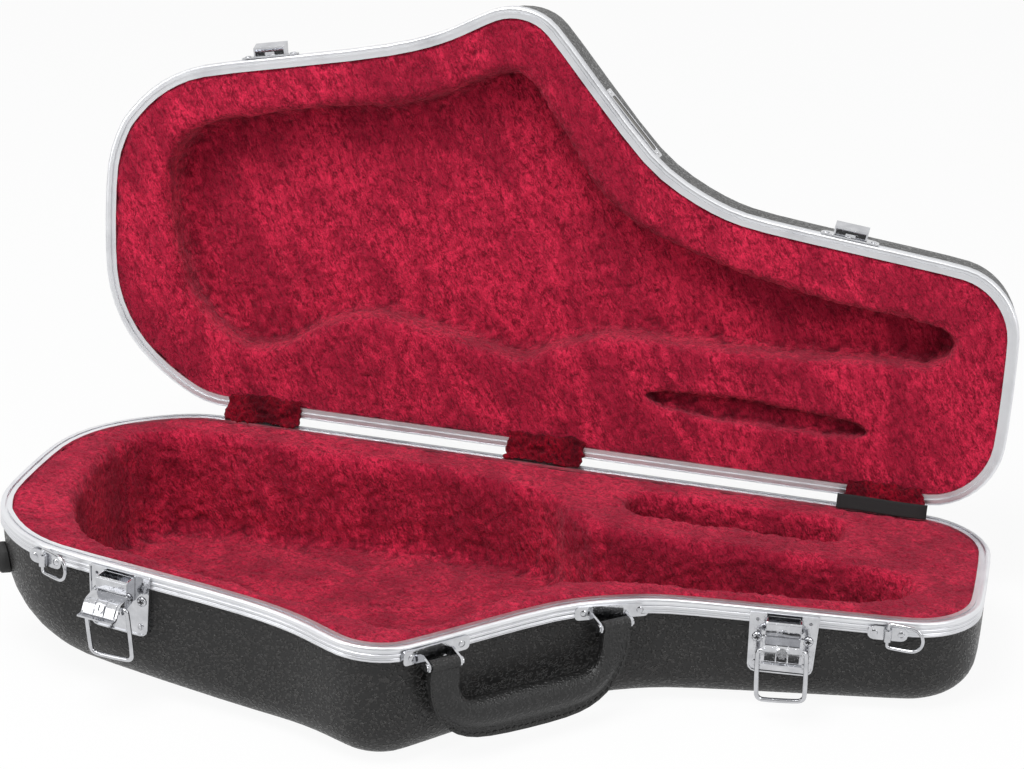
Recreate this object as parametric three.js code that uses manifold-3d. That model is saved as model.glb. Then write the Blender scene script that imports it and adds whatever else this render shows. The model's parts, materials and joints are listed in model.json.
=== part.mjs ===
// Alto saxophone case, open, with its lid leaning back on three hinges.
// Millimetres, +Z up. The origin is on the flat bottom, under the middle of the length.
// Everything is laid out from the closing plane between the two aluminium rims.
import * as THREE from 'three';
import { mergeVertices } from 'three/addons/utils/BufferGeometryUtils.js';
import Module from 'manifold-3d';

const wasm = await Module();
wasm.setup();
const radians = THREE.MathUtils.degToRad;

// Overall form
const inner_length = 650;
const inner_depth = 295.5;
const rim_height = 83.7;
const rim_tilt = radians(3.328);
const lid_open = radians(99.34);
const hinge_y = 110;
const hinge_setback = 11.5;
const lid_depth_bow = 92;
const lid_depth_neck = 78;

// Clearances
const fit = 0.3;
const running_fit = 0.1;
const overrun = 3;

// Outline of the rims' inner edge, counter-clockwise from the hinge side's neck end:
// along from the bow end, across from the hinge side, and the corner's radius
const outline_shares = [
  [0.9994, 0, 0.155],
  [0.121, 0, 0.195],
  [0.0077, 0.152, 0.32],
  [-0.0023, 0.583, 0.249],
  [0.044, 0.77, 0.292],
  [0.3057, 0.8875, 0.677],
  [0.3694, 0.9444, 0.314],
  [0.4474, 1.0488, 0.1185],
  [0.6065, 0.6606, 0.4505],
  [0.7003, 0.5842, 0.277],
  [0.998, 0.5172, 0.1505],
];
const outline_facet = radians(16);
const longest_side = 120;

// Shells
const wall = 3;
const shell_offset = 6.5;
const base_draft = Math.tan(radians(1.2));
const lid_draft = Math.tan(radians(2));
const base_radius = 26;
const back_radius = 22;
const bow_radius = 66;
const bow_reach = 175;
const lid_radius = 27;

// Aluminium rims
const rim_width = 8;
const rim_plate = 2.2;
const skirt_wall = 1.2;
const skirt_drop = 10;
const inner_leg_drop = 8;
const inner_leg_offset = 2;
const seam_groove_width = 1.6;
const seam_groove_depth = 1.6;
const seam_groove_offset = 4;
const tongue_width = 1;
const tongue_height = 1.3;
const rim_chamfer = 0.8;
const rib_groove_depth = 0.45;
const rib_groove_width = 1;

// Plush linings
const crown_drop = 0.5;
const crown_width = 9;
const well_floor = 18;
const well_fillet = 8;
const well_lip = 8;
const neck_well_depth = 34;
const neck_well_corner_share = 0.061;
const lid_recess_depth = 35;
const lid_slot_depth = 12;
const lid_lining_back = 7;

// Hinges
const hinge_width = 50;
const knuckle_radius = 2.8;
const hinge_pin_radius = 1.25;
const hinge_leaf_thickness = 0.9;
const hinge_leaf_reach = 9.6;
const hinge_leaf_start = 2.2;
const hinge_rivet_radius = 1.9;
const hinge_rivet_height = 0.6;
const hinge_shares = [0.191, 0.514, 0.8885];

// Hinge flaps and the tag
const flap_width = 56;
const flap_front = 13;
const flap_rise = 17.5;
const flap_thickness = 1.8;
const tag_width = 63;
const tag_height = 9.6;
const tag_thickness = 0.8;
const tag_lean = 3;

// Latches
const latch_plate_thickness = 1.2;
const latch_plate_width = 45.3;
const latch_plate_taper = 1.4;
const latch_plate_top = 2;
const latch_plate_bottom = 45;
const latch_plate_corner = 5.5;
const latch_plate_top_corner = 0.8;
const latch_bead = 0.8;
const latch_hole_radius = 1.2;
const latch_hole_spread = 17.2;
const latch_hole_drop = 7.3;
const housing_width = 23;
const housing_depth = 10.8;
const housing_wall = 1.2;
const housing_top = 3.4;
const housing_fold = 12;
const housing_foot = 20.5;
const lever_pivot_out = 8.8;
const lever_pivot_drop = 16.5;
const lever_pin_radius = 1.5;
const lever_boss = 3.2;
const lever_ear = 1.2;
const lever_reach = 22.6;
const bail_out = 8.2;
const bail_drop = 3.5;
const bail_wire = 1.6;
const bail_play = 0.8;
const bail_width = 31.8;
const bail_length = 38.5;
const bail_shoulder = 2.6;
const bail_corner = 5;
const bail_lean = radians(6.2);
const lock_tongue = 11;
const lock_tongue_thickness = 1.2;
const lock_radius = 3.4;
const lock_slope = radians(31);
const screw_radius = 3.5;
const screw_head = 1.5;
const screw_shank = 1.4;
const screw_spread = 16.6;
const screw_drop = 20;
const plate_rivet_spread = 16;
const plate_rivet_drop = 38.6;
const rivet_radius = 2.4;
const rivet_height = 0.9;

// Strikes
const strike_width = 41;
const strike_height = 12.5;
const strike_corner = 6;
const strike_thickness = 1.2;
const hood_width = 23.6;
const hood_start = 4.4;
const hood_length = 9;
const hood_mouth = 7;
const hood_rise = 9.8;
const hood_wall = 1.2;

// Strap rings
const strap_plate_width = 26;
const strap_plate_top = 3.6;
const strap_plate_height = 9.6;
const strap_plate_corner = 4.2;
const strap_plate_thickness = 1.2;
const sleeve_radius = 2.7;
const sleeve_length = 8;
const ring_wire = 1.3;
const ring_reach = 23;
const ring_height = 17;
const ring_corner = 8;
const ring_open = radians(12);

// Handle
const bracket_length = 50;
const bracket_height = 9.6;
const bracket_top = 2.6;
const bracket_thickness = 1.5;
const bracket_rivets = 38;
const handle_pin_out = 18;
const handle_pin_drop = 12.75;
const handle_pin_radius = 2;
const lug_thickness = 1.6;
const strap_width = 20;
const strap_thickness = 5;
const grip_thickness = 17;
const grip_top = 29;
const grip_bottom = 59;
const flange_thickness = 3.6;

// Card holder and feet
const card_frame_length = 60;
const card_frame_height = 16;
const card_frame_thickness = 1.6;
const card_border = 3;
const card_thickness = 0.5;
const card_drop = 13.5;
const foot_radius = 11;
const foot_height = 6.5;

// Looks
const look = (color, roughness, metalness = 0) => ({ color, roughness, metalness });
const black_shell = look('#2b2a2b', 0.5);
const bright_rim = look('#c9cbcf', 0.3, 1);
const plush = look('#a3122f', 0.95);
const chrome = look('#d6d8db', 0.15, 1);
const black_leather = look('#1f1e1f', 0.55);
const black_rubber = look('#1a1a1a', 0.8);
const black_weave = look('#161616', 0.9);
const blank_card = look('#e9e6df', 0.8);

// Closed surfaces

function weld(geometry) {
  const bare = new THREE.BufferGeometry();
  bare.setAttribute('position', geometry.getAttribute('position').clone());
  if (geometry.index) bare.setIndex(geometry.index.clone());
  const merged = mergeVertices(bare);
  const kept = [];
  for (let i = 0; i < merged.index.count; i += 3) {
    const [a, b, c] = [0, 1, 2].map((k) => merged.index.getX(i + k));
    if (a !== b && b !== c && c !== a) kept.push(a, b, c);
  }
  merged.setIndex(kept);
  return merged;
}

function toSolid(geometry) {
  const closed = weld(geometry);
  const vertProperties = new Float32Array(closed.attributes.position.array);
  const triVerts = new Uint32Array(closed.index.array);
  return new wasm.Manifold(new wasm.Mesh({ numProp: 3, vertProperties, triVerts }));
}

function toGeometry(body) {
  const mesh = body.getMesh();
  const geometry = new THREE.BufferGeometry();
  geometry.setAttribute('position', new THREE.Float32BufferAttribute(mesh.vertProperties, 3));
  geometry.setIndex(Array.from(mesh.triVerts));
  return geometry;
}

function join(...pieces) {
  return toGeometry(pieces.map(toSolid).reduce((whole, piece) => whole.add(piece)));
}

function cut(piece, ...tools) {
  return toGeometry(tools.map(toSolid).reduce((whole, tool) => whole.subtract(tool), toSolid(piece)));
}

// A skin over rows of points; rows close round, and the ends are capped unless they meet.
// Each four-sided patch is split on its shorter diagonal, so that nested skins stay parallel.
function skin(rows, endless = false) {
  const around = rows[0].length;
  const points = rows.flat();
  const faces = [];
  const spans = endless ? rows.length : rows.length - 1;
  for (let i = 0; i < spans; i++) {
    const here = i * around;
    const next = ((i + 1) % rows.length) * around;
    for (let j = 0; j < around; j++) {
      const k = (j + 1) % around;
      const rising = points[here + j].distanceTo(points[next + k]);
      const falling = points[here + k].distanceTo(points[next + j]);
      if (rising < falling) faces.push([here + j, here + k, next + k], [here + j, next + k, next + j]);
      else faces.push([here + j, here + k, next + j], [here + k, next + k, next + j]);
    }
  }
  if (!endless) {
    const last = (rows.length - 1) * around;
    capFaces(rows[0]).forEach((f) => faces.push([f[2], f[1], f[0]]));
    capFaces(rows[rows.length - 1]).forEach((f) => faces.push(f.map((v) => v + last)));
  }
  let volume = 0;
  for (const [a, b, c] of faces) volume += points[a].dot(points[b].clone().cross(points[c]));
  const index = faces.flatMap((f) => (volume < 0 ? [f[2], f[1], f[0]] : f));
  const geometry = new THREE.BufferGeometry();
  geometry.setAttribute('position', new THREE.Float32BufferAttribute(points.flatMap((p) => p.toArray()), 3));
  geometry.setIndex(index);
  return geometry;
}

// Triangles over a flat ring, wound the way that the ring's points run
function capFaces(ring) {
  const normal = new THREE.Vector3();
  ring.forEach((p, i) => normal.add(p.clone().cross(ring[(i + 1) % ring.length])));
  const axis = ['x', 'y', 'z'].reduce((a, b) => (Math.abs(normal[b]) > Math.abs(normal[a]) ? b : a));
  const [u, v] = { x: ['y', 'z'], y: ['z', 'x'], z: ['x', 'y'] }[axis];
  const flat = ring.map((p) => new THREE.Vector2(p[u], p[v]));
  const turned = THREE.ShapeUtils.area(flat) < 0;
  const faces = THREE.ShapeUtils.triangulateShape(flat, []);
  return turned ? faces.map((f) => f.slice().reverse()) : faces;
}

// Stations round a polygon with rounded corners: each has a point and an outward normal
function rounded(corners, facet, longest = Infinity) {
  const arcs = corners.map(([x, y, radius], i) => {
    const p = new THREE.Vector2(x, y);
    const from = new THREE.Vector2(...corners.at(i - 1).slice(0, 2)).sub(p).normalize();
    const to = new THREE.Vector2(...corners[(i + 1) % corners.length].slice(0, 2)).sub(p).normalize();
    const half = Math.acos(from.dot(to)) / 2;
    const bend = -Math.sign(from.cross(to));
    const centre = from.clone().add(to).setLength(radius / Math.sin(half)).add(p);
    const start = from.multiplyScalar(radius / Math.tan(half)).add(p).sub(centre).angle();
    const turn = Math.PI - 2 * half;
    const steps = Math.max(1, Math.ceil(turn / facet));
    return Array.from({ length: steps + 1 }, (_, k) => {
      const angle = start + (bend * turn * k) / steps;
      const [nx, ny] = [Math.cos(angle), Math.sin(angle)];
      return { x: centre.x + radius * nx, y: centre.y + radius * ny, nx: nx * bend, ny: ny * bend };
    });
  });
  return arcs.flatMap((arc, i) => {
    const a = arc.at(-1);
    const b = arcs[(i + 1) % arcs.length][0];
    const pieces = Math.ceil(Math.hypot(b.x - a.x, b.y - a.y) / longest) || 1;
    const between = Array.from({ length: pieces - 1 }, (_, k) => {
      const t = (k + 1) / pieces;
      return { ...a, x: a.x + (b.x - a.x) * t, y: a.y + (b.y - a.y) * t };
    });
    return [...arc, ...between];
  });
}

// Stations round a smooth closed curve through the given places
function smooth(places, count) {
  const curve = new THREE.CatmullRomCurve3(places.map(([x, y]) => new THREE.Vector3(x, y, 0)), true);
  return Array.from({ length: count }, (_, i) => {
    const p = curve.getPoint(i / count);
    const t = curve.getTangent(i / count);
    return { x: p.x, y: p.y, nx: t.y, ny: -t.x };
  });
}

// A round wire through points that lie in one plane, mitred at each point
function wire(points, normal, radius, sides, endless = false) {
  const n = points.length;
  const rows = points.map((p, i) => {
    const back = i || endless ? p.clone().sub(points.at(i - 1)).normalize() : null;
    const ahead = i < n - 1 || endless ? points[(i + 1) % n].clone().sub(p).normalize() : null;
    const along = (back ?? ahead).clone().add(ahead ?? back).normalize();
    const side = normal.clone().cross(along);
    const stretch = 1 / along.dot(ahead ?? back);
    return Array.from({ length: sides }, (_, k) => {
      const angle = (2 * Math.PI * (k + 1 / 2)) / sides;
      return p.clone()
        .addScaledVector(normal, radius * Math.sin(angle))
        .addScaledVector(side, radius * stretch * Math.cos(angle));
    });
  });
  return skin(rows, endless);
}

function box(from, to) {
  const size = to.map((v, i) => v - from[i]);
  return new THREE.BoxGeometry(...size).translate(...to.map((v, i) => (v + from[i]) / 2));
}

// A rod of given radius between two places along one axis
function rod(axis, radius, from, to, at, sides = 12) {
  const turned = { x: [0, 0, -Math.PI / 2], y: [0, 0, 0], z: [Math.PI / 2, 0, 0] }[axis];
  const geometry = new THREE.CylinderGeometry(radius, radius, Math.abs(to - from), sides);
  geometry.rotateX(turned[0]).rotateZ(turned[2]);
  const middle = (from + to) / 2;
  const place = { x: [middle, ...at], y: [at[0], middle, at[1]], z: [...at, middle] }[axis];
  return geometry.translate(...place);
}

// A profile in the Y-Z plane drawn out along X
function profileAlongX(points, from, to) {
  const shape = new THREE.Shape(points.map(([y, z]) => new THREE.Vector2(y, z)));
  const geometry = new THREE.ExtrudeGeometry(shape, { depth: to - from, bevelEnabled: false });
  const turn = new THREE.Matrix4().makeBasis(
    new THREE.Vector3(0, 1, 0), new THREE.Vector3(0, 0, 1), new THREE.Vector3(1, 0, 0));
  return geometry.applyMatrix4(turn).translate(from, 0, 0);
}

// A plate whose face is in the X-Z plane, from y = back out to y = front (front is lower)
function plate(shape, back, front, segments = 3) {
  const options = { depth: back - front, bevelEnabled: false, curveSegments: segments };
  const geometry = new THREE.ExtrudeGeometry(shape, options);
  const turn = new THREE.Matrix4().makeBasis(
    new THREE.Vector3(1, 0, 0), new THREE.Vector3(0, 0, 1), new THREE.Vector3(0, -1, 0));
  return geometry.applyMatrix4(turn).translate(0, back, 0);
}

function roundedRectangle(left, bottom, right, top, radius, taper = 0, topRadius = radius) {
  const corners = [
    [left + taper, bottom, radius], [right - taper, bottom, radius], [right, top, topRadius], [left, top, topRadius],
  ];
  return new THREE.Shape(rounded(corners, radians(30)).map((s) => new THREE.Vector2(s.x, s.y)));
}

// A low domed head on a face, standing out towards -Y
function dome(radius, height, x, z, face = 0, root = 0, sides = 10) {
  const profile = [[0, -root], [radius, -root], [radius, height / 4], [radius * 0.7, height * 0.8], [0, height]];
  const geometry = new THREE.LatheGeometry(profile.map((p) => new THREE.Vector2(...p)), sides);
  return geometry.rotateX(Math.PI).translate(x, face, z);
}

// Groups: the case stands in world axes, the rims lie in a tilted plane, the lid swings from it
const caseGroup = new THREE.Group();
const rimGroup = new THREE.Group();
rimGroup.position.set(0, hinge_y, rim_height);
rimGroup.rotation.y = rim_tilt;
const lidGroup = new THREE.Group();
lidGroup.rotation.x = -lid_open;
caseGroup.add(rimGroup);
rimGroup.add(lidGroup);
caseGroup.updateMatrixWorld(true);
const worldFromRim = rimGroup.matrixWorld.clone();
const rimFromWorld = worldFromRim.clone().invert();

function add(group, name, geometry, looks) {
  const mesh = new THREE.Mesh(weld(geometry), new THREE.MeshStandardMaterial(looks));
  mesh.name = name;
  group.add(mesh);
  return mesh;
}

// The outline, in the rims' own axes: X from mid length, Y from the hinge axis
const alongX = (share) => (share - 1 / 2) * inner_length;
const acrossY = (share) => -hinge_setback - share * inner_depth;
const stations = rounded(
  outline_shares.map(([x, y, r]) => [alongX(x), acrossY(y), r * inner_depth]), outline_facet, longest_side);
const rimPoint = (s, offset, z) => new THREE.Vector3(s.x + s.nx * offset, s.y + s.ny * offset, z);
const wallPoint = (s, offset, z) => rimPoint(s, offset, z).applyMatrix4(worldFromRim);

// Base shell: upright walls under the tilted rim, rounded into a flat level bottom
const basePoint = (s, offset, height) => new THREE.Vector3(
  (s.x + s.nx * offset) * Math.cos(rim_tilt), hinge_y + s.y + s.ny * offset, height);
const rimLevel = (s) => rim_height - s.x * Math.sin(rim_tilt);

const flange = skirt_drop + fit * 2;

function baseRadius(s) {
  const bow = THREE.MathUtils.smoothstep(bow_reach - s.x - inner_length / 2, 0, bow_reach);
  const front = base_radius + (bow_radius - base_radius) * bow;
  return THREE.MathUtils.lerp(front, back_radius, Math.max(0, s.ny));
}

function baseRing(inset, turn) {
  return stations.map((s) => {
    const radius = baseRadius(s);
    const foot = shell_offset - base_draft * (rimLevel(s) - flange - radius) - radius;
    const reach = (radius - inset) * Math.cos(turn);
    return basePoint(s, foot + reach, radius - (radius - inset) * Math.sin(turn));
  });
}

const quarter = (steps) => Array.from({ length: steps + 1 }, (_, k) => (Math.PI / 2) * (1 - k / steps));
const plateUnder = rim_plate + fit;
const halfSeam = fit / 2;
const baseEdge = (offset) => [flange, plateUnder].map(
  (h) => stations.map((s) => wallPoint(s, offset, -halfSeam - h)));
const outerRings = [...quarter(5).map((turn) => baseRing(0, turn)), ...baseEdge(shell_offset)];
const innerRings = [
  ...baseEdge(shell_offset - wall).reverse(), ...quarter(4).reverse().map((turn) => baseRing(wall, turn)),
];
add(caseGroup, 'base_shell', skin([...outerRings, ...innerRings]), black_shell);

// Lid shell, drawn closed: its top slopes from the deep bow end to the neck end
const lidDepth = (s) => THREE.MathUtils.mapLinear(
  s.x, -inner_length / 2, inner_length / 2, lid_depth_bow, lid_depth_neck);

function lidRing(inset, turn) {
  return stations.map((s) => {
    const foot = shell_offset - lid_draft * (lidDepth(s) - flange - lid_radius) - lid_radius;
    const reach = (lid_radius - inset) * Math.cos(turn);
    return rimPoint(s, foot + reach, lidDepth(s) - lid_radius + (lid_radius - inset) * Math.sin(turn));
  });
}

const lidEdge = (offset) => [flange, plateUnder].map(
  (h) => stations.map((s) => rimPoint(s, offset, halfSeam + h)));
const lidOuterRings = [...quarter(4).map((turn) => lidRing(0, turn)), ...lidEdge(shell_offset)];
add(lidGroup, 'lid_shell', skin([
  ...lidOuterRings,
  ...lidEdge(shell_offset - wall).reverse(), ...quarter(3).reverse().map((turn) => lidRing(wall, turn)),
]), black_shell);

// Rims: one extruded section bent round the outline, with a groove on the base
// and a tongue on the lid; up is the direction from the seam into the shell
function rimSection(seam) {
  const skirtIn = rim_width - skirt_wall;
  const legOut = inner_leg_offset + skirt_wall;
  const ribs = [0.75, 0.45].flatMap((share) => {
    const level = skirt_drop * share;
    return [
      [rim_width, level + rib_groove_width / 2],
      [rim_width - rib_groove_depth, level],
      [rim_width, level - rib_groove_width / 2],
    ];
  });
  return [
    [0, 0], [0, rim_plate], [inner_leg_offset, rim_plate], [inner_leg_offset, inner_leg_drop],
    [legOut, inner_leg_drop], [legOut, rim_plate], [skirtIn, rim_plate], [skirtIn, skirt_drop],
    [rim_width, skirt_drop], ...ribs, [rim_width, rim_chamfer], [rim_width - rim_chamfer, 0],
    ...seam,
  ];
}

const ridge = (width, depth) => [
  [seam_groove_offset + width / 2, 0], [seam_groove_offset + width / 2, depth],
  [seam_groove_offset - width / 2, depth], [seam_groove_offset - width / 2, 0],
];
const rimSkin = (seam, up) => skin(
  stations.map((s) => rimSection(seam).map(([o, h]) => rimPoint(s, o, up * (halfSeam + h)))), true);
add(rimGroup, 'base_rim', rimSkin(ridge(seam_groove_width, seam_groove_depth), -1), bright_rim);
add(lidGroup, 'lid_rim', rimSkin(ridge(tongue_width, -tongue_height), 1), bright_rim);

// Linings: padding that fills the shell, crowned inside the rim, with sunk wells
const padOffset = inner_leg_offset - fit;
const base_well_shares = [
  [0.949, 0.381], [0.935, 0.32], [0.885, 0.283], [0.769, 0.272], [0.646, 0.272],
  [0.582, 0.239], [0.551, 0.147], [0.477, 0.096], [0.363, 0.08], [0.249, 0.086],
  [0.166, 0.069], [0.097, 0.086], [0.054, 0.181], [0.042, 0.367], [0.051, 0.536],
  [0.074, 0.655], [0.12, 0.75], [0.188, 0.797], [0.302, 0.865], [0.389, 0.909],
  [0.446, 0.946], [0.5, 0.892], [0.542, 0.756], [0.575, 0.645], [0.629, 0.574],
  [0.723, 0.54], [0.829, 0.513], [0.917, 0.469],
];
const neck_well_shares = [[0.862, 0.062], [0.862, 0.205], [0.615, 0.205], [0.615, 0.062]];
const lid_recess_shares = [
  [0.172, 0.104], [0.215, 0.13], [0.27, 0.209], [0.316, 0.228], [0.431, 0.182],
  [0.477, 0.166], [0.538, 0.232], [0.596, 0.256], [0.718, 0.253], [0.868, 0.274],
  [0.932, 0.288], [0.956, 0.363], [0.94, 0.419], [0.902, 0.439], [0.772, 0.466],
  [0.649, 0.54], [0.592, 0.584], [0.557, 0.635], [0.525, 0.723], [0.469, 0.882],
  [0.434, 0.915], [0.382, 0.865], [0.331, 0.808], [0.238, 0.779], [0.16, 0.739],
  [0.105, 0.709], [0.064, 0.655], [0.046, 0.543], [0.055, 0.401], [0.076, 0.254],
  [0.109, 0.162], [0.139, 0.12],
];
const lid_slot_shares = [
  [0.614, 0.158], [0.7, 0.176], [0.788, 0.166], [0.862, 0.145], [0.868, 0.12], [0.83, 0.105],
  [0.748, 0.103], [0.669, 0.11], [0.62, 0.13],
];
const inPlan = (shares) => shares.map(([x, y]) => [alongX(x), acrossY(y)]);

// Offsets and drops of a well's soft lip, from high above the crown down into the wall
const lipSteps = (lip) => [
  [lip / 8, -overrun], [0, 0], [-lip / 2, lip / 8], [-lip * 0.84, lip / 2], [-lip, lip],
];
const floorSteps = (lip, fillet) => [0, 1 / 2, 1].map((t) => {
  const turn = (Math.PI / 2) * t;
  return [-lip - fillet * (1 - Math.cos(turn)), fillet * (1 - Math.sin(turn))];
});

// A pocket sunk from the rim plane; up is +1 in the lid and -1 in the base
function pocket(places, up, depth, lip, fillet) {
  const drop = (h) => up * (halfSeam + crown_drop + h);
  const mouth = lipSteps(lip).map(([o, h]) => places.map((s) => rimPoint(s, o, drop(h))));
  const bottom = floorSteps(lip, fillet).map(
    ([o, h]) => places.map((s) => rimPoint(s, o, drop(depth - h))));
  return skin([...mouth, ...bottom]);
}

// The base's well has a level floor under its tilted mouth
function baseWell(places) {
  const mouth = lipSteps(well_lip).map(([o, h]) => places.map(
    (s) => wallPoint(s, o, -halfSeam - crown_drop - h)));
  const bottom = floorSteps(well_lip, well_fillet).map(
    ([o, h]) => places.map((s) => basePoint(s, o, well_floor + h)));
  return skin([...mouth, ...bottom]);
}

// Edge of a lining from the rim's inner leg up over the crown
const crownSteps = [
  [padOffset, inner_leg_drop + fit], [padOffset, plateUnder], [-fit, plateUnder],
  [-fit, crown_drop * 3], [-crown_width / 3, crown_drop * 1.3], [-crown_width, crown_drop],
];
const padUnderLeg = shell_offset - wall - fit;
const baseLiningRings = [
  ...quarter(4).map((turn) => baseRing(wall + fit, turn)),
  stations.map((s) => wallPoint(s, padUnderLeg, -halfSeam - skirt_drop)),
  ...crownSteps.map(([o, h]) => stations.map((s) => wallPoint(s, o, -halfSeam - h))),
];
const neckWell = rounded(
  inPlan(neck_well_shares).reverse().map(([x, y]) => [x, y, inner_depth * neck_well_corner_share]),
  radians(24), longest_side);
add(caseGroup, 'base_lining', cut(
  skin(baseLiningRings),
  baseWell(smooth(inPlan(base_well_shares), 48)),
  pocket(neckWell, -1, neck_well_depth, well_lip / 2, well_fillet).applyMatrix4(worldFromRim),
), plush);

const lidLiningDepth = lid_recess_depth + lid_lining_back;
const lidPadOffset = (h) => padUnderLeg - lid_draft * Math.max(0, h - flange);
const lidLiningRings = [
  stations.map((s) => rimPoint(s, lidPadOffset(lidLiningDepth) - well_fillet, halfSeam + lidLiningDepth)),
  stations.map((s) => rimPoint(s, lidPadOffset(lidLiningDepth) - fit, halfSeam + lidLiningDepth - well_fillet)),
  stations.map((s) => rimPoint(s, lidPadOffset(skirt_drop), halfSeam + skirt_drop)),
  ...crownSteps.map(([o, h]) => stations.map((s) => rimPoint(s, o, halfSeam + h))),
];
add(lidGroup, 'lid_lining', cut(
  skin(lidLiningRings),
  pocket(smooth(inPlan(lid_recess_shares).reverse(), 48), 1, lid_recess_depth, well_lip, well_fillet),
  pocket(smooth(inPlan(lid_slot_shares), 20), 1, lid_slot_depth, well_lip / 4, well_lip / 8),
), plush);

// What hardware on the walls has to clear: the shell and the rim's skirt, with the fit
const grown = (rings) => rings.map((ring) => ring.map((p, i) => {
  const s = stations[i];
  return p.clone().add(new THREE.Vector3(s.nx, s.ny, 0).multiplyScalar(fit));
}));
const skirtBlock = (up) => skin([-overrun, skirt_drop + fit + halfSeam].map(
  (h) => stations.map((s) => rimPoint(s, rim_width + fit, up * h))));
const baseBlock = join(skirtBlock(-1), skin(grown(outerRings)).applyMatrix4(rimFromWorld));
const lidBlock = join(skirtBlock(1), skin(grown(lidOuterRings)));

// Seats on the walls: the nearest place on the outline, faced outwards along local -Y
const faceOffset = rim_width + fit;
function seat(xShare, yShare, out = faceOffset) {
  const [x, y] = [alongX(xShare), acrossY(yShare)];
  let best = { far: Infinity };
  stations.forEach((a, i) => {
    const b = stations[(i + 1) % stations.length];
    const [dx, dy] = [b.x - a.x, b.y - a.y];
    const t = THREE.MathUtils.clamp(((x - a.x) * dx + (y - a.y) * dy) / (dx * dx + dy * dy), 0, 1);
    const far = Math.hypot(a.x + t * dx - x, a.y + t * dy - y);
    if (far < best.far) best = { far, x: a.x + t * dx, y: a.y + t * dy, nx: dy, ny: -dx };
  });
  const size = Math.hypot(best.nx, best.ny);
  const [nx, ny] = [best.nx / size, best.ny / size];
  const group = new THREE.Group();
  group.position.set(best.x + nx * out, best.y + ny * out, 0);
  group.rotation.z = Math.atan2(nx, -ny);
  return group;
}

// A seat on the line between two places on the wall, with X along that line
function spanSeat(first, second, out) {
  const [a, b] = [first, second].map((place) => seat(...place, out).position);
  const group = new THREE.Group();
  group.position.copy(a).lerp(b, 1 / 2);
  group.rotation.z = Math.atan2(b.y - a.y, b.x - a.x);
  return { group, span: a.distanceTo(b) };
}

// Trims a piece, drawn in a seat's axes, to the wall that it stands on
function trimmed(piece, group, block) {
  group.updateMatrix();
  const tool = block.clone().applyMatrix4(group.matrix.clone().invert());
  return cut(piece, tool);
}

// Strap-ring brackets, handle brackets, latch plates and strikes all reach back into the wall
const reachBack = faceOffset;

// Draw latches on the base and their strikes on the lid
const latch_places_shares = { left: [0.1657, 0.8512], right: [0.8183, 0.5834] };
const strike_places_shares = { left: [0.1657, 0.8512], right: [0.8183, 0.5834] };

function latchPlate(group) {
  const [half, low, top] = [latch_plate_width / 2, -latch_plate_bottom, -latch_plate_top];
  const outer = roundedRectangle(
    -half, low, half, top, latch_plate_corner, latch_plate_taper, latch_plate_top_corner);
  const edge = latch_bead * 1.2;
  const inner = roundedRectangle(
    -half + edge, low + edge, half - edge, top - edge, latch_plate_corner - edge, latch_plate_taper,
    latch_plate_top_corner);
  const bead = cut(
    plate(outer, 0, -latch_plate_thickness - latch_bead),
    plate(inner, overrun, -latch_plate_thickness - latch_bead - overrun));
  const rivets = [-1, 1].map((side) => dome(
    rivet_radius, rivet_height, side * plate_rivet_spread, -plate_rivet_drop,
    -latch_plate_thickness, latch_plate_thickness));
  const holes = [-1, 1].flatMap((side) => [
    rod('y', screw_shank + fit, -overrun, reachBack, [side * screw_spread, -screw_drop], 10),
    rod('y', latch_hole_radius, -overrun, reachBack, [side * latch_hole_spread, -latch_hole_drop], 10),
  ]);
  const keeperHalf = lock_radius / 2 + fit * 2;
  const keeperAt = -lever_pivot_drop - lever_reach * lock_place_share;
  const keeper = box(
    [-keeperHalf, -overrun, keeperAt - lock_tongue_thickness * 2],
    [keeperHalf, reachBack, keeperAt + lock_tongue_thickness]);
  return trimmed(cut(
    join(plate(outer, reachBack, -latch_plate_thickness), bead, ...rivets), ...holes, keeper), group, baseBlock);
}

function latchHousing() {
  const half = housing_width / 2;
  const [out, drop] = [-lever_pivot_out, -lever_pivot_drop];
  const back = -fit;
  const wallBack = -housing_depth + housing_wall;
  const body = profileAlongX([
    [back, -housing_top], [back, -housing_foot], [out + lever_boss, -housing_foot + lever_boss / 2],
    [out, drop - lever_boss], [out - lever_boss * 0.7, drop - lever_boss * 0.7], [out - lever_boss, drop],
    [out - lever_boss * 0.7, drop + lever_boss * 0.7], [wallBack, -housing_fold - housing_wall],
    [wallBack, -housing_fold], [-housing_depth, -housing_fold],
    [-housing_depth, -housing_top - housing_wall], [wallBack, -housing_top],
  ], -half, half);
  const inner = half - housing_wall;
  const slot = box([-inner, wallBack, -housing_fold + housing_wall], [inner, back - housing_wall, overrun]);
  const gap = rod('x', lever_pin_radius + housing_wall, -inner, inner, [out, drop]);
  const front = box(
    [-inner, -housing_depth - overrun, -housing_foot - overrun], [inner, out, -housing_fold]);
  const bore = rod('x', lever_pin_radius + running_fit, -half - overrun, half + overrun, [out, drop]);
  return cut(body, slot, gap, front, bore);
}

const earIn = housing_width / 2 + fit;
const earOut = earIn + lever_ear;

// Side view of the lever's leaf, outwards and upwards from its pivot: along its top to the
// lip, then back along its underside
const lever_leaf_shares = [
  [0.128, 0.146], [0.496, 0.071], [0.584, 0.018], [0.646, -0.071], [0.735, -0.23], [0.805, -0.292],
  [1, -0.283], [1, -0.336], [0.761, -0.341], [0.708, -0.305], [0.597, -0.097], [0.544, -0.027],
  [0.482, 0.013], [0.128, 0.093],
];
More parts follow.
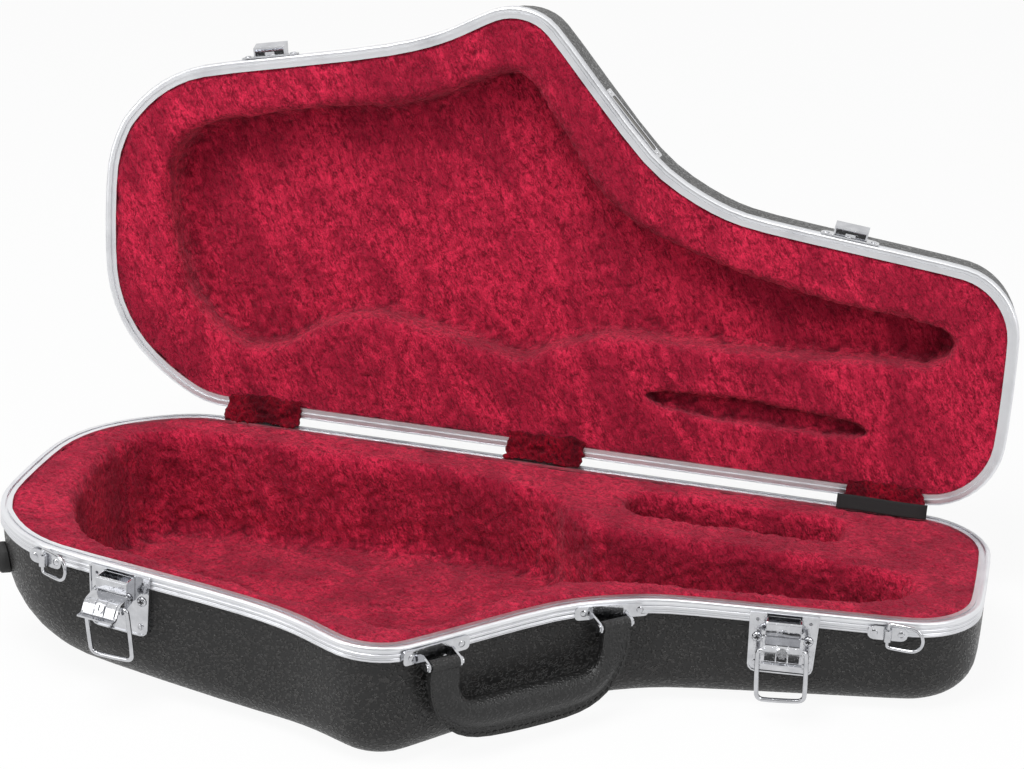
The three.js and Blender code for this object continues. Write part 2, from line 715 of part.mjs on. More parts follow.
// The three raised ribs on its face, and the lock in the middle one
const lever_rib_shares = [
  [0.44, 0.076], [0.55, 0.09], [0.62, 0.045], [0.69, -0.06], [0.765, -0.2], [0.8, -0.27],
  [0.72, -0.26], [0.62, -0.05], [0.52, 0.03],
];
const lever_rib_spread_shares = [[-0.86, -0.32], [-0.26, 0.26], [0.32, 0.86]];
const lock_place_share = 0.655;
const lock_height_share = -0.085;
const inSideView = (shares) => shares.map(([out, up]) => [-out * lever_reach, up * lever_reach]);

function latchLever() {
  const boss = lever_boss;
  const leaf_side = inSideView(lever_leaf_shares);
  const [start, bend] = leaf_side;
  const ear = [
    [boss * 0.94, 0], [boss * 0.66, boss * 0.68], [0, boss], start, bend,
    [-bail_out - boss * 0.95, -bail_drop + boss * 0.2], [-bail_out - boss * 0.66, -bail_drop - boss * 0.68],
    [-bail_out + boss * 0.1, -bail_drop - boss], [-bail_out / 2, -bail_drop - boss * 0.3], [0, -boss],
    [boss * 0.66, -boss * 0.66],
  ];
  const ears = [[-earOut, -earIn], [earIn, earOut]].map(([from, to]) => profileAlongX(ear, from, to));
  const leaf = profileAlongX(leaf_side, -earOut, earOut);
  const ribs = lever_rib_spread_shares.map(([from, to]) => profileAlongX(
    inSideView(lever_rib_shares), from * earOut, to * earOut));
  const [lockOut, lockUp] = [-lever_reach * lock_place_share, lever_reach * lock_height_share];
  const proud = latch_bead * 2.5;
  const lock = rod('y', lock_radius, -proud, lock_tongue_thickness, [0, 0], 14)
    .rotateX(-lock_slope).translate(0, lockOut, lockUp);
  const [wide, thin] = [lock_radius * 0.55, lock_radius * 0.14];
  const keyhole = box([-thin, -proud - overrun, -wide], [thin, -proud + latch_bead, wide])
    .rotateX(-lock_slope).translate(0, lockOut, lockUp);
  const tongue = box(
    [-lock_radius / 2, lockOut - lock_tongue_thickness / 2, -lock_tongue],
    [lock_radius / 2, lockOut + lock_tongue_thickness / 2, lockUp]);
  const bores = [
    rod('x', lever_pin_radius + running_fit, -earOut - overrun, earOut + overrun, [0, 0]),
    rod('x', bail_wire + bail_play, -earOut - overrun, earOut + overrun, [-bail_out, -bail_drop]),
  ];
  return cut(join(cut(join(...ears, leaf), ...bores), ...ribs, tongue, lock), keyhole);
}

function latchBail() {
  const half = bail_width / 2;
  const end = earIn + running_fit;
  const corners = [[-half, 0, bail_shoulder], [-half, -bail_length, bail_corner],
    [half, -bail_length, bail_corner], [half, 0, bail_shoulder]];
  const bends = rounded(corners, radians(31)).map((s) => new THREE.Vector3(s.x, 0, s.y));
  const path = [new THREE.Vector3(-end, 0, 0), ...bends, new THREE.Vector3(end, 0, 0)];
  return wire(path, new THREE.Vector3(0, 1, 0), bail_wire, 8);
}

function screw() {
  const head = dome(screw_radius, screw_head, 0, 0, -latch_plate_thickness - fit);
  const shank = rod('y', screw_shank, -latch_plate_thickness - fit - screw_head / 4, 0, [0, 0], 10);
  const [long, thin] = [screw_radius * 0.65, screw_radius * 0.14];
  const deep = -latch_plate_thickness - fit - screw_head / 2;
  const recess = [[long, thin], [thin, long]].map(([w, h]) => box(
    [-w, deep - overrun, -h], [w, deep, h]));
  return cut(join(head, shank), ...recess);
}

for (const [side, [x, y]] of Object.entries(latch_places_shares)) {
  const group = seat(x, y);
  rimGroup.add(group);
  add(group, `latch_plate_${side}`, latchPlate(group), chrome);
  const face = new THREE.Group();
  face.position.y = -latch_plate_thickness;
  group.add(face);
  add(face, `latch_housing_${side}`, latchHousing(), chrome);
  const pivot = new THREE.Group();
  pivot.position.set(0, -lever_pivot_out, -lever_pivot_drop);
  face.add(pivot);
  const headAt = earOut + running_fit;
  const pin = join(
    rod('x', lever_pin_radius, -headAt - fit, headAt + fit, [0, 0], 12),
    rod('x', lever_pin_radius * 1.6, headAt, headAt + fit * 2, [0, 0], 12),
    rod('x', lever_pin_radius * 1.6, -headAt - fit * 2, -headAt, [0, 0], 12));
  add(pivot, `latch_pin_${side}`, pin, chrome);
  add(pivot, `latch_lever_${side}`, latchLever(), chrome);
  const bail = add(pivot, `latch_bail_${side}`, latchBail(), chrome);
  bail.position.set(0, -bail_out, -bail_drop);
  bail.rotation.set(bail_lean, -rim_tilt * Math.cos(group.rotation.z), 0);
  [-1, 1].forEach((s) => {
    const mesh = add(group, `latch_screw_${side}_${s < 0 ? 'a' : 'b'}`, screw(), chrome);
    mesh.position.set(s * screw_spread, 0, -screw_drop);
  });
}

// A strike's hood is open towards the seam, and the bail catches on its far edge
function strikeHood() {
  const [half, low, far] = [hood_width / 2, hood_start, hood_start + hood_length];
  const inner = half - hood_wall;
  const body = profileAlongX([
    [0, low], [-hood_mouth, low], [-hood_rise, far], [-hood_rise + hood_wall, far],
    [0, far - hood_wall * 1.6],
  ], -half, half);
  const hollow = profileAlongX([
    [-strike_thickness, low - overrun], [-hood_mouth + hood_wall, low - overrun],
    [-hood_mouth + hood_wall, low], [-hood_rise + hood_wall * 1.4, far - hood_wall * 1.4],
    [-strike_thickness, far - hood_wall * 2.6],
  ], -inner, inner);
  const tab = box(
    [-inner / 3, -strike_thickness - hood_wall * 2, low], [inner / 3, -strike_thickness / 2, low + hood_wall]);
  return join(cut(body, hollow), tab);
}

for (const [side, [x, y]] of Object.entries(strike_places_shares)) {
  const group = seat(x, y);
  lidGroup.add(group);
  const half = strike_width / 2;
  const shape = roundedRectangle(
    -half, latch_plate_top, half, latch_plate_top + strike_height, rivet_height, 0, strike_corner);
  const rivets = [-1, 1].map((s) => dome(
    rivet_radius, rivet_height, s * (half - rivet_radius * 1.5), latch_plate_top + strike_height * 0.4,
    -strike_thickness, strike_thickness));
  const body = join(plate(shape, reachBack, -strike_thickness), ...rivets, strikeHood());
  add(group, `strike_${side}`, trimmed(body, group, lidBlock), chrome);
}

// Strap rings by the ends of the front
const strap_places_shares = { left: [0.0785, 0.8135], right: [0.9205, 0.5595] };
for (const [side, [x, y]] of Object.entries(strap_places_shares)) {
  const group = seat(x, y);
  rimGroup.add(group);
  const half = strap_plate_width / 2;
  const top = -strap_plate_top;
  const low = top - strap_plate_height;
  const middle = (top + low) / 2;
  const shape = roundedRectangle(-half, low, half, top, strap_plate_corner);
  const rivets = [-1, 1].map((s) => dome(
    rivet_radius, rivet_height, s * (half - strap_plate_corner), middle,
    -strap_plate_thickness, strap_plate_thickness));
  const sleeveOut = -strap_plate_thickness - sleeve_radius + fit;
  const sleeve = rod('z', sleeve_radius, middle - sleeve_length / 2, middle + sleeve_length / 2, [0, sleeveOut]);
  const bore = rod('z', ring_wire + running_fit * 1.6, low - overrun, top + overrun, [0, sleeveOut]);
  const body = cut(join(plate(shape, reachBack, -strap_plate_thickness), ...rivets, sleeve), bore);
  add(group, `strap_plate_${side}`, trimmed(body, group, baseBlock), chrome);
  const tall = ring_height / 2;
  const path = rounded([
    [0, -tall, ring_wire * 1.6], [ring_reach, -tall, ring_corner],
    [ring_reach, tall, ring_corner], [0, tall, ring_wire * 1.6],
  ], radians(23)).map((s) => new THREE.Vector3(s.x, 0, s.y));
  const ring = add(group, `strap_ring_${side}`, wire(path, new THREE.Vector3(0, 1, 0), ring_wire, 8, true), chrome);
  ring.position.set(0, sleeveOut, middle);
  ring.rotation.z = -ring_open;
}

// Handle: both pins lie on one line across the hollow of the front
const bracket_places_shares = { left: [0.5026, 0.961], right: [0.649, 0.6609] };
const { group: handleGroup, span: pinSpan } = spanSeat(
  bracket_places_shares.left, bracket_places_shares.right, handle_pin_out);
handleGroup.position.z = -handle_pin_drop;
rimGroup.add(handleGroup);
handleGroup.updateMatrix();

const lugIn = strap_width / 2 + fit * 2;
const lugOut = lugIn + lug_thickness;
const eyeRadius = strap_thickness * 0.85;
for (const [side, sign] of [['left', -1], ['right', 1]]) {
  const group = seat(...bracket_places_shares[side]);
  rimGroup.add(group);
  const [half, tall] = [bracket_length / 2, bracket_height / 2];
  const middle = -bracket_top - tall;
  const strip = roundedRectangle(-half, middle - tall, half, middle + tall, tall * 0.6);
  const rivets = [-1, 1].map((s) => dome(
    rivet_radius, rivet_height, (s * bracket_rivets) / 2, middle, -bracket_thickness, bracket_thickness));
  group.updateMatrix();
  const toSeat = group.matrix.clone().invert().multiply(handleGroup.matrix);
  const [pinR, lift] = [handle_pin_radius + hinge_leaf_thickness, middle + handle_pin_drop];
  const lugRoot = handle_pin_out * 1.7;
  const lugShape = [
    [lugRoot, lift - tall], [pinR * 0.7, -pinR * 0.9], [0, -pinR * 1.1], [-pinR * 0.8, -pinR * 0.8],
    [-pinR * 1.1, 0], [-pinR * 0.8, pinR * 0.8], [0, pinR * 1.1], [lugRoot, lift + tall],
  ];
  const lugs = [-1, 1].map((s) => {
    const at = (sign * pinSpan) / 2 + s * (lugIn + lugOut) / 2;
    return profileAlongX(lugShape, at - lug_thickness / 2, at + lug_thickness / 2).applyMatrix4(toSeat);
  });
  const bore = rod(
    'x', handle_pin_radius + running_fit, (sign * pinSpan) / 2 - lugOut - overrun,
    (sign * pinSpan) / 2 + lugOut + overrun, [0, 0]).applyMatrix4(toSeat);
  const body = cut(join(plate(strip, reachBack, -bracket_thickness), ...rivets, ...lugs), bore);
  add(group, `handle_bracket_${side}`, trimmed(body, group, baseBlock), chrome);
  const headAt = lugOut + running_fit;
  const pin = join(
    rod('x', handle_pin_radius, -headAt - fit, headAt + fit, [0, 0], 12),
    rod('x', handle_pin_radius * 1.4, headAt, headAt + fit * 3, [0, 0], 12),
    rod('x', handle_pin_radius * 1.4, -headAt - fit * 3, -headAt, [0, 0], 12));
  add(handleGroup, `handle_pin_${side}`, pin, chrome).position.x = (sign * pinSpan) / 2;
}

// The handle is one padded U. Its section, from the padded inner edge out to the sewn flange,
// is in shares of half the thickness and of the distance between the edges.
const grip_section_shares = [
  [0, 0], [0.62, 0.05], [0.95, 0.2], [1, 0.38], [0.8, 0.58], [0.42, 0.72], [0, 0.8], [0, 1],
];
// From an eye down to the grip: the inner edge's offset from the pin and its drop, the same
// for the outer edge, and how far the padding has swelled
const handle_bend_shares = [
  [-0.49, 0, 0.49, 0, 0], [-0.5, 0.153, 0.55, 0.17, 0], [-0.525, 0.288, 0.5, 0.373, 0.2],
  [-0.65, 0.407, 0.25, 0.61, 0.55], [-0.9, 0.475, -0.2, 0.805, 0.87], [-1.3, 0.497, -0.85, 0.932, 1],
  [-1.9, 0.492, -1.65, 0.988, 1],
];
const gripHalf = (pinSpan + strap_width) / 2;
const thinnest = flange_thickness / 2;
const gripRow = ([innerX, innerDrop, outerX, outerDrop], swell) => {
  const half = grip_section_shares.map(([w, t]) => {
    const padded = Math.max(thinnest, (w * grip_thickness) / 2);
    return [
      THREE.MathUtils.lerp(innerX, outerX, t), THREE.MathUtils.lerp(strap_thickness / 2, padded, swell),
      -THREE.MathUtils.lerp(innerDrop, outerDrop, t)];
  });
  return [...half, ...half.slice().reverse().map(([x, y, z]) => [x, -y, z])].map((p) => new THREE.Vector3(...p));
};
const bendRows = (sign) => handle_bend_shares.map(([innerX, innerDrop, outerX, outerDrop, swell]) => gripRow([
  sign * (pinSpan / 2 + innerX * strap_width), innerDrop * grip_bottom,
  sign * (pinSpan / 2 + outerX * strap_width), outerDrop * grip_bottom,
], swell));
const gripRows = [...bendRows(-1), gripRow([0, grip_top, 0, grip_bottom], 1), ...bendRows(1).reverse()];
const straps = [-1, 1].map((sign) => rod(
  'x', eyeRadius, (sign * pinSpan - strap_width) / 2, (sign * pinSpan + strap_width) / 2, [0, 0]));
const eyes = rod('x', handle_pin_radius + running_fit, -gripHalf - overrun, gripHalf + overrun, [0, 0]);
const plumb = Math.atan(Math.tan(rim_tilt) * Math.sin(handleGroup.rotation.z));
add(handleGroup, 'handle', cut(join(skin(gripRows), ...straps), eyes), black_leather).rotation.x = -plumb;

// Hinges: leaves riveted to the rims' back skirts, three knuckles on the base, two on the lid
const leafFront = -(hinge_setback - rim_width) + fit;
const leafBack = leafFront + hinge_leaf_thickness;

function hingeLeaf(up, knuckles) {
  const half = hinge_width / 2;
  const pitch = hinge_width / 5;
  const [near, far] = [up * hinge_leaf_start, up * hinge_leaf_reach];
  const leaf = box([-half, leafFront, Math.min(near, far)], [half, leafBack, Math.max(near, far)]);
  const parts = knuckles.flatMap((k) => {
    const [from, to] = [-half + k * pitch + fit / 2, -half + (k + 1) * pitch - fit / 2];
    const [a, b] = [(up * hinge_leaf_start) / 2, up * (hinge_leaf_start + hinge_leaf_thickness)];
    return [
      rod('x', knuckle_radius, from, to, [0, 0], 10),
      box([from, leafFront, Math.min(a, b)], [to, leafBack + hinge_leaf_thickness / 2, Math.max(a, b)]),
    ];
  });
  const rivets = [-1, 1].map((s) => rod(
    'y', hinge_rivet_radius, leafBack - hinge_leaf_thickness / 2, leafBack + hinge_rivet_height,
    [s * half * 0.6, (near + far) / 2 + (up * hinge_leaf_thickness) / 2], 8));
  const bore = rod('x', hinge_pin_radius + running_fit, -half - overrun, half + overrun, [0, 0], 10);
  return cut(join(leaf, ...parts, ...rivets), bore);
}

// Plush flaps that line the fold over each hinge, from the base rim up to the lid rim
function hingeFlap() {
  const face = new THREE.Vector2(Math.sin(lid_open - Math.PI / 2), Math.cos(lid_open - Math.PI / 2));
  const away = new THREE.Vector2(-face.y, face.x);
  const onLid = (s, off) => face.clone().multiplyScalar(s).addScaledVector(away, off);
  const clear = knuckle_radius + fit * 2;
  const under = [15, 45, 72].map((deg) => new THREE.Vector2(
    -clear * Math.cos(radians(deg)), clear * Math.sin(radians(deg))));
  const front = new THREE.Vector2(-flap_front, flap_thickness);
  const tip = onLid(flap_rise, flap_thickness);
  const bulge = new THREE.Vector2(-flap_front / 3, flap_rise / 5);
  const cover = new THREE.QuadraticBezierCurve(tip, bulge, front).getPoints(6);
  const tongueAt = hinge_setback - seam_groove_offset;
  const beside = tongue_width / 2 + fit * 2;
  const overTongue = halfSeam + tongue_height;
  const section = [
    new THREE.Vector2(-flap_front, halfSeam), new THREE.Vector2(-clear - fit, halfSeam), ...under,
    onLid(clear + fit, halfSeam), onLid(tongueAt - beside, halfSeam), onLid(tongueAt - beside, overTongue),
    onLid(tongueAt + beside, overTongue), onLid(tongueAt + beside, halfSeam), onLid(flap_rise, halfSeam),
    ...cover,
  ];
  return profileAlongX(section.map((p) => p.toArray()), -flap_width / 2, flap_width / 2);
}

hinge_shares.forEach((share, i) => {
  const at = alongX(share);
  const number = i + 1;
  add(rimGroup, `hinge_base_leaf_${number}`, hingeLeaf(-1, [0, 2, 4]), chrome).position.x = at;
  add(lidGroup, `hinge_lid_leaf_${number}`, hingeLeaf(1, [1, 3]), chrome).position.x = at;
  const end = hinge_width / 2 + running_fit;
  const pin = join(
    rod('x', hinge_pin_radius, -end - fit, end + fit, [0, 0], 8),
    rod('x', hinge_pin_radius * 1.5, end, end + fit * 3, [0, 0], 8),
    rod('x', hinge_pin_radius * 1.5, -end - fit * 3, -end, [0, 0], 8));
  add(rimGroup, `hinge_pin_${number}`, pin, chrome).position.x = at;
  add(rimGroup, `hinge_flap_${number}`, hingeFlap(), plush).position.x = at;
});

// A bare woven tag that stands against the front of the neck-end flap
const tagFront = -flap_front - tag_thickness - fit - (tag_lean * flap_thickness) / tag_height;
const tag = profileAlongX([
  [tagFront, halfSeam], [tagFront + tag_thickness, halfSeam],
  [tagFront + tag_thickness + tag_lean, halfSeam + tag_height], [tagFront + tag_lean, halfSeam + tag_height],
], -tag_width / 2, tag_width / 2);
add(rimGroup, 'tag', tag, black_weave).position.x = alongX(hinge_shares[2]);

// Card holder on the lid's front, above the handle, with a blank card behind its frame
const card_ends_shares = [[0.5385, 0.868], [0.6046, 0.7157]];
const { group: cardSeat } = spanSeat(...card_ends_shares, shell_offset);
lidGroup.add(cardSeat);
const cardHalf = [card_frame_length / 2, card_frame_height / 2];
const cardMiddle = skirt_drop + fit * 2 + cardHalf[1];
const cardShape = roundedRectangle(
  -cardHalf[0], cardMiddle - cardHalf[1], cardHalf[0], cardMiddle + cardHalf[1], card_border / 2);
const cardWindow = roundedRectangle(
  -cardHalf[0] + card_border * 2, cardMiddle - cardHalf[1] + card_border, cardHalf[0] - card_border * 2,
  cardMiddle + cardHalf[1] - card_border, card_border / 4);
const cardFloor = card_frame_thickness - card_thickness - fit * 2;
const cardFrame = cut(
  plate(cardShape, card_thickness, -card_frame_thickness),
  plate(cardWindow, -card_frame_thickness + cardFloor + card_thickness, -card_frame_thickness - overrun));
const cardFrameSolid = join(cardFrame, ...[-1, 1].map((s) => dome(
  card_border / 2, rivet_height / 2, s * (cardHalf[0] - card_border), cardMiddle,
  -card_frame_thickness, card_frame_thickness / 2)));
add(cardSeat, 'card_frame', trimmed(cardFrameSolid, cardSeat, lidBlock), chrome);
const cardSheet = roundedRectangle(
  -cardHalf[0] + card_border * 2 + fit, cardMiddle - cardHalf[1] + card_border + fit,
  cardHalf[0] - card_border * 2 - fit, cardMiddle + cardHalf[1] - card_border - fit, card_border / 5);
const cardBack = -card_frame_thickness + cardFloor + card_thickness - fit;
add(cardSeat, 'card', plate(cardSheet, cardBack, cardBack - card_thickness / 2), blank_card);

// Feet: one on the bow end, two on each half's hinge side
const foot_shares = {
  foot_bow: ['base', 0.008, 0.655, 36],
  foot_base_1: ['base', 0.33, 0, 45], foot_base_2: ['base', 0.72, 0, 45],
  foot_lid_1: ['lid', 0.33, 0, 45], foot_lid_2: ['lid', 0.72, 0, 45],
};
for (const [name, [half, x, y, drop]] of Object.entries(foot_shares)) {
  const group = seat(x, y, shell_offset);
  const inBase = half === 'base';
  (inBase ? rimGroup : lidGroup).add(group);
  const foot = dome(foot_radius, foot_height, 0, 0, 0, reachBack, 16);
  foot.translate(0, 0, inBase ? -drop : drop);
  add(group, name, trimmed(foot, group, inBase ? baseBlock : lidBlock), black_rubber);
}

export default caseGroup;
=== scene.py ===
# %% [markdown]
# # A shaped hard case with a plush lining
# The case is a moulded black shell in two halves. Each half has an aluminium rim and a lining of crimson
# plush. The solid model is loaded first. What follows is measured from the solids, covers them and moves
# with them.

# %% Load the frame
import json
import math

import bpy
import numpy as np
from mathutils import Matrix, Vector, noise

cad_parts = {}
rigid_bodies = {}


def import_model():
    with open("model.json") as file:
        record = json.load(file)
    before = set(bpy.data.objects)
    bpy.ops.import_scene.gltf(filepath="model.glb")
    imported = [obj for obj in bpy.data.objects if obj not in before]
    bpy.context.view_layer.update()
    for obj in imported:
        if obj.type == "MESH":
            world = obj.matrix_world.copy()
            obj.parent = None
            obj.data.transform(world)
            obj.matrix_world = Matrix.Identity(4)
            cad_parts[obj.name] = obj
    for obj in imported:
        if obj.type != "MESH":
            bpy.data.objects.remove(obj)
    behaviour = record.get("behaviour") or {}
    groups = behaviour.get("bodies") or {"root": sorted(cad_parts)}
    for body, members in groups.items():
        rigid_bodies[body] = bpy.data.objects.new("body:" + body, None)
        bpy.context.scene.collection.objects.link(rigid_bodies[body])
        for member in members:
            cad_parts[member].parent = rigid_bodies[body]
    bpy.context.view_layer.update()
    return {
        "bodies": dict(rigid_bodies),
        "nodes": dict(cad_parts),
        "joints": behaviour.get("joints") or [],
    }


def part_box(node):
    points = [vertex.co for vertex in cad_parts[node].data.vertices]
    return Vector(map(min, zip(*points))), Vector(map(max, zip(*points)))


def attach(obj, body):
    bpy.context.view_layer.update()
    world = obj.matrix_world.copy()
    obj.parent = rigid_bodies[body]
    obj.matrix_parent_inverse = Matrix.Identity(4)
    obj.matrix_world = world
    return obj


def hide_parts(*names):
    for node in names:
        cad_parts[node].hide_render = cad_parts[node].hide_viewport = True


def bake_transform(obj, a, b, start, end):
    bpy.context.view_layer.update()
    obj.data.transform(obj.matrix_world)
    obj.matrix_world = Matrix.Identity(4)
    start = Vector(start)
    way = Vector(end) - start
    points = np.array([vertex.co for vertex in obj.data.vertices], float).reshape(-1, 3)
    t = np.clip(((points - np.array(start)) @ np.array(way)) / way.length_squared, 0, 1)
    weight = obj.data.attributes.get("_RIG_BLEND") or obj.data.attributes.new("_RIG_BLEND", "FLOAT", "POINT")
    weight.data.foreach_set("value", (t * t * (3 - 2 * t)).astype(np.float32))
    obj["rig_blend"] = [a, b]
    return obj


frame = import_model()

# %% [markdown]
# ## Camera, floor and light
# The case was photographed a little from above and from the right of its middle, with a lens that
# flattens it slightly. It stands on white paper that runs up behind it. One broad lamp above does most of
# the work, and two weaker ones fill.

# %% Camera
MM = 0.001
lens_place = Vector((0.38102, -1.70164, 0.88447))
lens_turn = (math.radians(68.0745), 0.0, math.radians(12.3298))
lens = bpy.data.cameras.new("camera")
lens.sensor_width = 36
lens.lens = 98.4375
camera = bpy.data.objects.new("camera", lens)
camera.location = lens_place
camera.rotation_euler = lens_turn
bpy.context.scene.collection.objects.link(camera)
bpy.context.scene.camera = camera
bpy.context.scene.view_settings.view_transform = "Standard"
print("camera", tuple(round(value, 3) for value in camera.location))


# %% [markdown]
# ## Helpers for modelling
# Blender's operators act on what is selected, so each piece starts from an empty selection. A modifier is
# applied as soon as it is set, so the mesh that is shown is also the mesh that is kept. Blender counts in
# metres: the stage and the lamps are given in metres, and sizes on the case in millimetres, times MM.

# %% Selecting
def only(*pieces):
    """Selects these objects and no others, and makes the first one active."""
    bpy.ops.object.select_all(action="DESELECT")
    for piece in pieces:
        piece.hide_set(False)
        piece.select_set(True)
    bpy.context.view_layer.objects.active = pieces[0]


def open_mesh(piece):
    """Opens a piece in edit mode with all of its mesh selected."""
    only(piece)
    bpy.ops.object.mode_set(mode="EDIT")
    bpy.ops.mesh.select_all(action="SELECT")


# %% Changing whole pieces
def apply(piece, kind, name, **settings):
    """Adds a modifier, sets it and applies it."""
    only(piece)
    step = piece.modifiers.new(name, kind)
    for setting, value in settings.items():
        setattr(step, setting, value)
    bpy.ops.object.modifier_apply(modifier=step.name)
    return piece


def settle(piece):
    """Puts an object's place, turn and size into its mesh."""
    only(piece)
    bpy.ops.object.transform_apply(location=True, rotation=True, scale=True)
    return piece


def joined(pieces, name):
    """Joins objects into one object with a name."""
    only(*pieces)
    bpy.ops.object.join()
    whole = bpy.context.active_object
    whole.name = name
    return whole


# %% [markdown]
# ## Copying a solid
# A solid comes as many flat triangles. Its copy is welded first, and triangles that lie flat together
# become quads, because quads subdivide evenly. Edges that turn sharply get a crease, which subdivision
# leaves alone.

# %% Copying a solid
weld_distance = 0.004
flat_within = math.radians(12)
square_within = math.radians(50)


def merged(node, name):
    """A copy of a solid with its loose triangles joined, and with quads where it can have them."""
    piece = frame["nodes"][node].copy()
    piece.data = piece.data.copy()
    for key in list(piece.keys()):
        del piece[key]
    piece.parent = None
    piece.name = name
    piece.data.name = name
    piece.data.materials.clear()
    bpy.context.scene.collection.objects.link(piece)
    open_mesh(piece)
    bpy.ops.mesh.remove_doubles(threshold=weld_distance * MM)
    bpy.ops.mesh.tris_convert_to_quads(face_threshold=flat_within, shape_threshold=square_within)
    bpy.ops.object.mode_set(mode="OBJECT")
    return piece


# %% Creasing sharp edges
def creased(piece, angle):
    """Keeps the edges that turn by more than angle degrees sharp when the piece is subdivided."""
    facing = [Vector(face.normal) for face in piece.data.polygons]
    beside = {}
    for face in piece.data.polygons:
        for key in face.edge_keys:
            beside.setdefault(key, []).append(face.index)
    attributes = piece.data.attributes
    crease = attributes.get("crease_edge") or attributes.new("crease_edge", "FLOAT", "EDGE")
    limit = math.cos(math.radians(angle))
    for edge in piece.data.edges:
        faces = beside.get(edge.key, [])
        sharp = len(faces) != 2 or facing[faces[0]].dot(facing[faces[1]]) < limit
        crease.data[edge.index].value = 1.0 if sharp else 0.0
    return piece


# %% Dressing a solid
bevelled_sharp = 75
creased_margin = 6


def body_of_node(node):
    """The moving part that carries a solid."""
    carrier = frame["nodes"][node].parent
    return next(body for body, empty in frame["bodies"].items() if carrier == empty)


def dressed(node, finish, levels=1, angle=28, bevel=0.0, name=None):
    """A smooth copy of a solid in its finish, which stands for the solid and rides with its body."""
    piece = merged(node, name or node + "_piece")
    if bevel:
        apply(piece, "BEVEL", "edges", width=bevel * MM, segments=2, limit_method="ANGLE",
              angle_limit=math.radians(angle), harden_normals=False)
    if levels:
        creased(piece, angle)
        apply(piece, "SUBSURF", "smooth", levels=levels, render_levels=levels)
    only(piece)
    smooth_under = bevelled_sharp if bevel else angle + creased_margin
    bpy.ops.object.shade_smooth_by_angle(angle=math.radians(smooth_under))
    if bevel:
        apply(piece, "WEIGHTED_NORMAL", "flat_faces", weight=100, keep_sharp=True)
    piece.data.materials.append(finish)
    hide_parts(node)
    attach(piece, body_of_node(node))
    return piece


# %% [markdown]
# ## Helpers for finishes
# A shader is a sum of textures. With this class a socket adds and multiplies like a number, so a pattern
# reads as a formula.

# %% Shader sums
class Sum:
    """The output of a shader node, which can be added to, multiplied and so on."""

    def __init__(self, finish, socket):
        self.finish = finish
        self.socket = socket

    def maths(self, operation, *values):
        """A maths node that works on these values."""
        return self.finish.node("ShaderNodeMath", {"operation": operation}, dict(enumerate(values)))

    def __add__(self, other):
        return self.maths("ADD", self, other)

    def __radd__(self, other):
        return self.maths("ADD", other, self)

    def __sub__(self, other):
        return self.maths("SUBTRACT", self, other)

    def __rsub__(self, other):
        return self.maths("SUBTRACT", other, self)

    def __mul__(self, other):
        return self.maths("MULTIPLY", self, other)

    def least(self, other):
        """The smaller of the two."""
        return self.maths("MINIMUM", self, other)

    def wave(self):
        """A sine, which swings between -1 and 1."""
        return self.maths("SINE", self)

    def between(self, low, high):
        """0 below low, 1 above high and a smooth step from one to the other."""
        return self.finish.node("ShaderNodeMapRange", {"interpolation_type": "SMOOTHSTEP"},
                                {"Value": self, "From Min": low, "From Max": high})


# %% Finishes
def socket_name(word):
    """The name of a socket from a keyword, so base_color is Base Color."""
    return word.replace("_", " ").title().replace("Ior", "IOR")


class Finish:
    """A material, its nodes and the sockets of its shader."""

    def __init__(self, name, **constants):
        self.material = bpy.data.materials.new(name)
        self.material.use_nodes = True
        self.tree = self.material.node_tree
        self.shader = self.tree.nodes["Principled BSDF"]
        for word, value in constants.items():
            self.shader.inputs[socket_name(word)].default_value = value

    def node(self, kind, settings, sockets, out=0):
        """Adds a node: its settings first, then the value or link of each socket."""
        made = self.tree.nodes.new(kind)
        for setting, value in settings.items():
            setattr(made, setting, value)
        for socket, value in sockets.items():
            if isinstance(value, Sum):
                self.tree.links.new(value.socket, made.inputs[socket])
            else:
                made.inputs[socket].default_value = value
        return Sum(self, made.outputs[out])

    def ray(self, kind):
        """1 for rays of one kind (Camera, Glossy or Transmission) and 0 for all others."""
        return self.node("ShaderNodeLightPath", {}, {}, "Is %s Ray" % kind)

    def place(self, scale=(1, 1, 1), turn=(0, 0, 0)):
        """The place on the piece in metres, stretched and turned."""
        where = self.node("ShaderNodeTexCoord", {}, {}, "Object")
        return self.node("ShaderNodeMapping", {}, {"Vector": where, "Scale": scale, "Rotation": turn})

    def along(self, axis, where=None):
        """One coordinate of a place: 0 is X, 1 is Y and 2 is Z."""
        return self.node("ShaderNodeSeparateXYZ", {}, {"Vector": where or self.place()}, axis)

    def cloud(self, size, where=None, detail=3.0, rough=0.55, warp=0.0):
        """Soft noise whose lumps are about size millimetres across."""
        return self.node("ShaderNodeTexNoise", {},
                         {"Vector": where or self.place(), "Scale": 1 / (size * MM), "Detail": detail,
                          "Roughness": rough, "Distortion": warp})

    def cells(self, size, where=None):
        """The distance inside soft cells that are about size millimetres across."""
        return self.node("ShaderNodeTexVoronoi", {"feature": "SMOOTH_F1"},
                         {"Vector": where or self.place(), "Scale": 1 / (size * MM), "Smoothness": 0.5})

    def mix(self, share, first, second):
        """A colour between two colours. The mix node keeps its colours in sockets 6 and 7."""
        return self.node("ShaderNodeMix", {"data_type": "RGBA"}, {0: share, 6: first, 7: second}, 2)

    def bump(self, height, depth, below=None):
        """A normal from a height of 0 to 1 that stands depth millimetres proud."""
        sockets = {"Height": height, "Distance": depth * MM, "Strength": 1.0}
        if below is not None:
            sockets["Normal"] = below
        return self.node("ShaderNodeBump", {}, sockets)

    def feeds(self, **links):
        """Links sums to the sockets of the shader."""
        for word, value in links.items():
            self.tree.links.new(value.socket, self.shader.inputs[socket_name(word)])
        print(self.material.name, len(self.tree.nodes), "nodes")
        return self.material


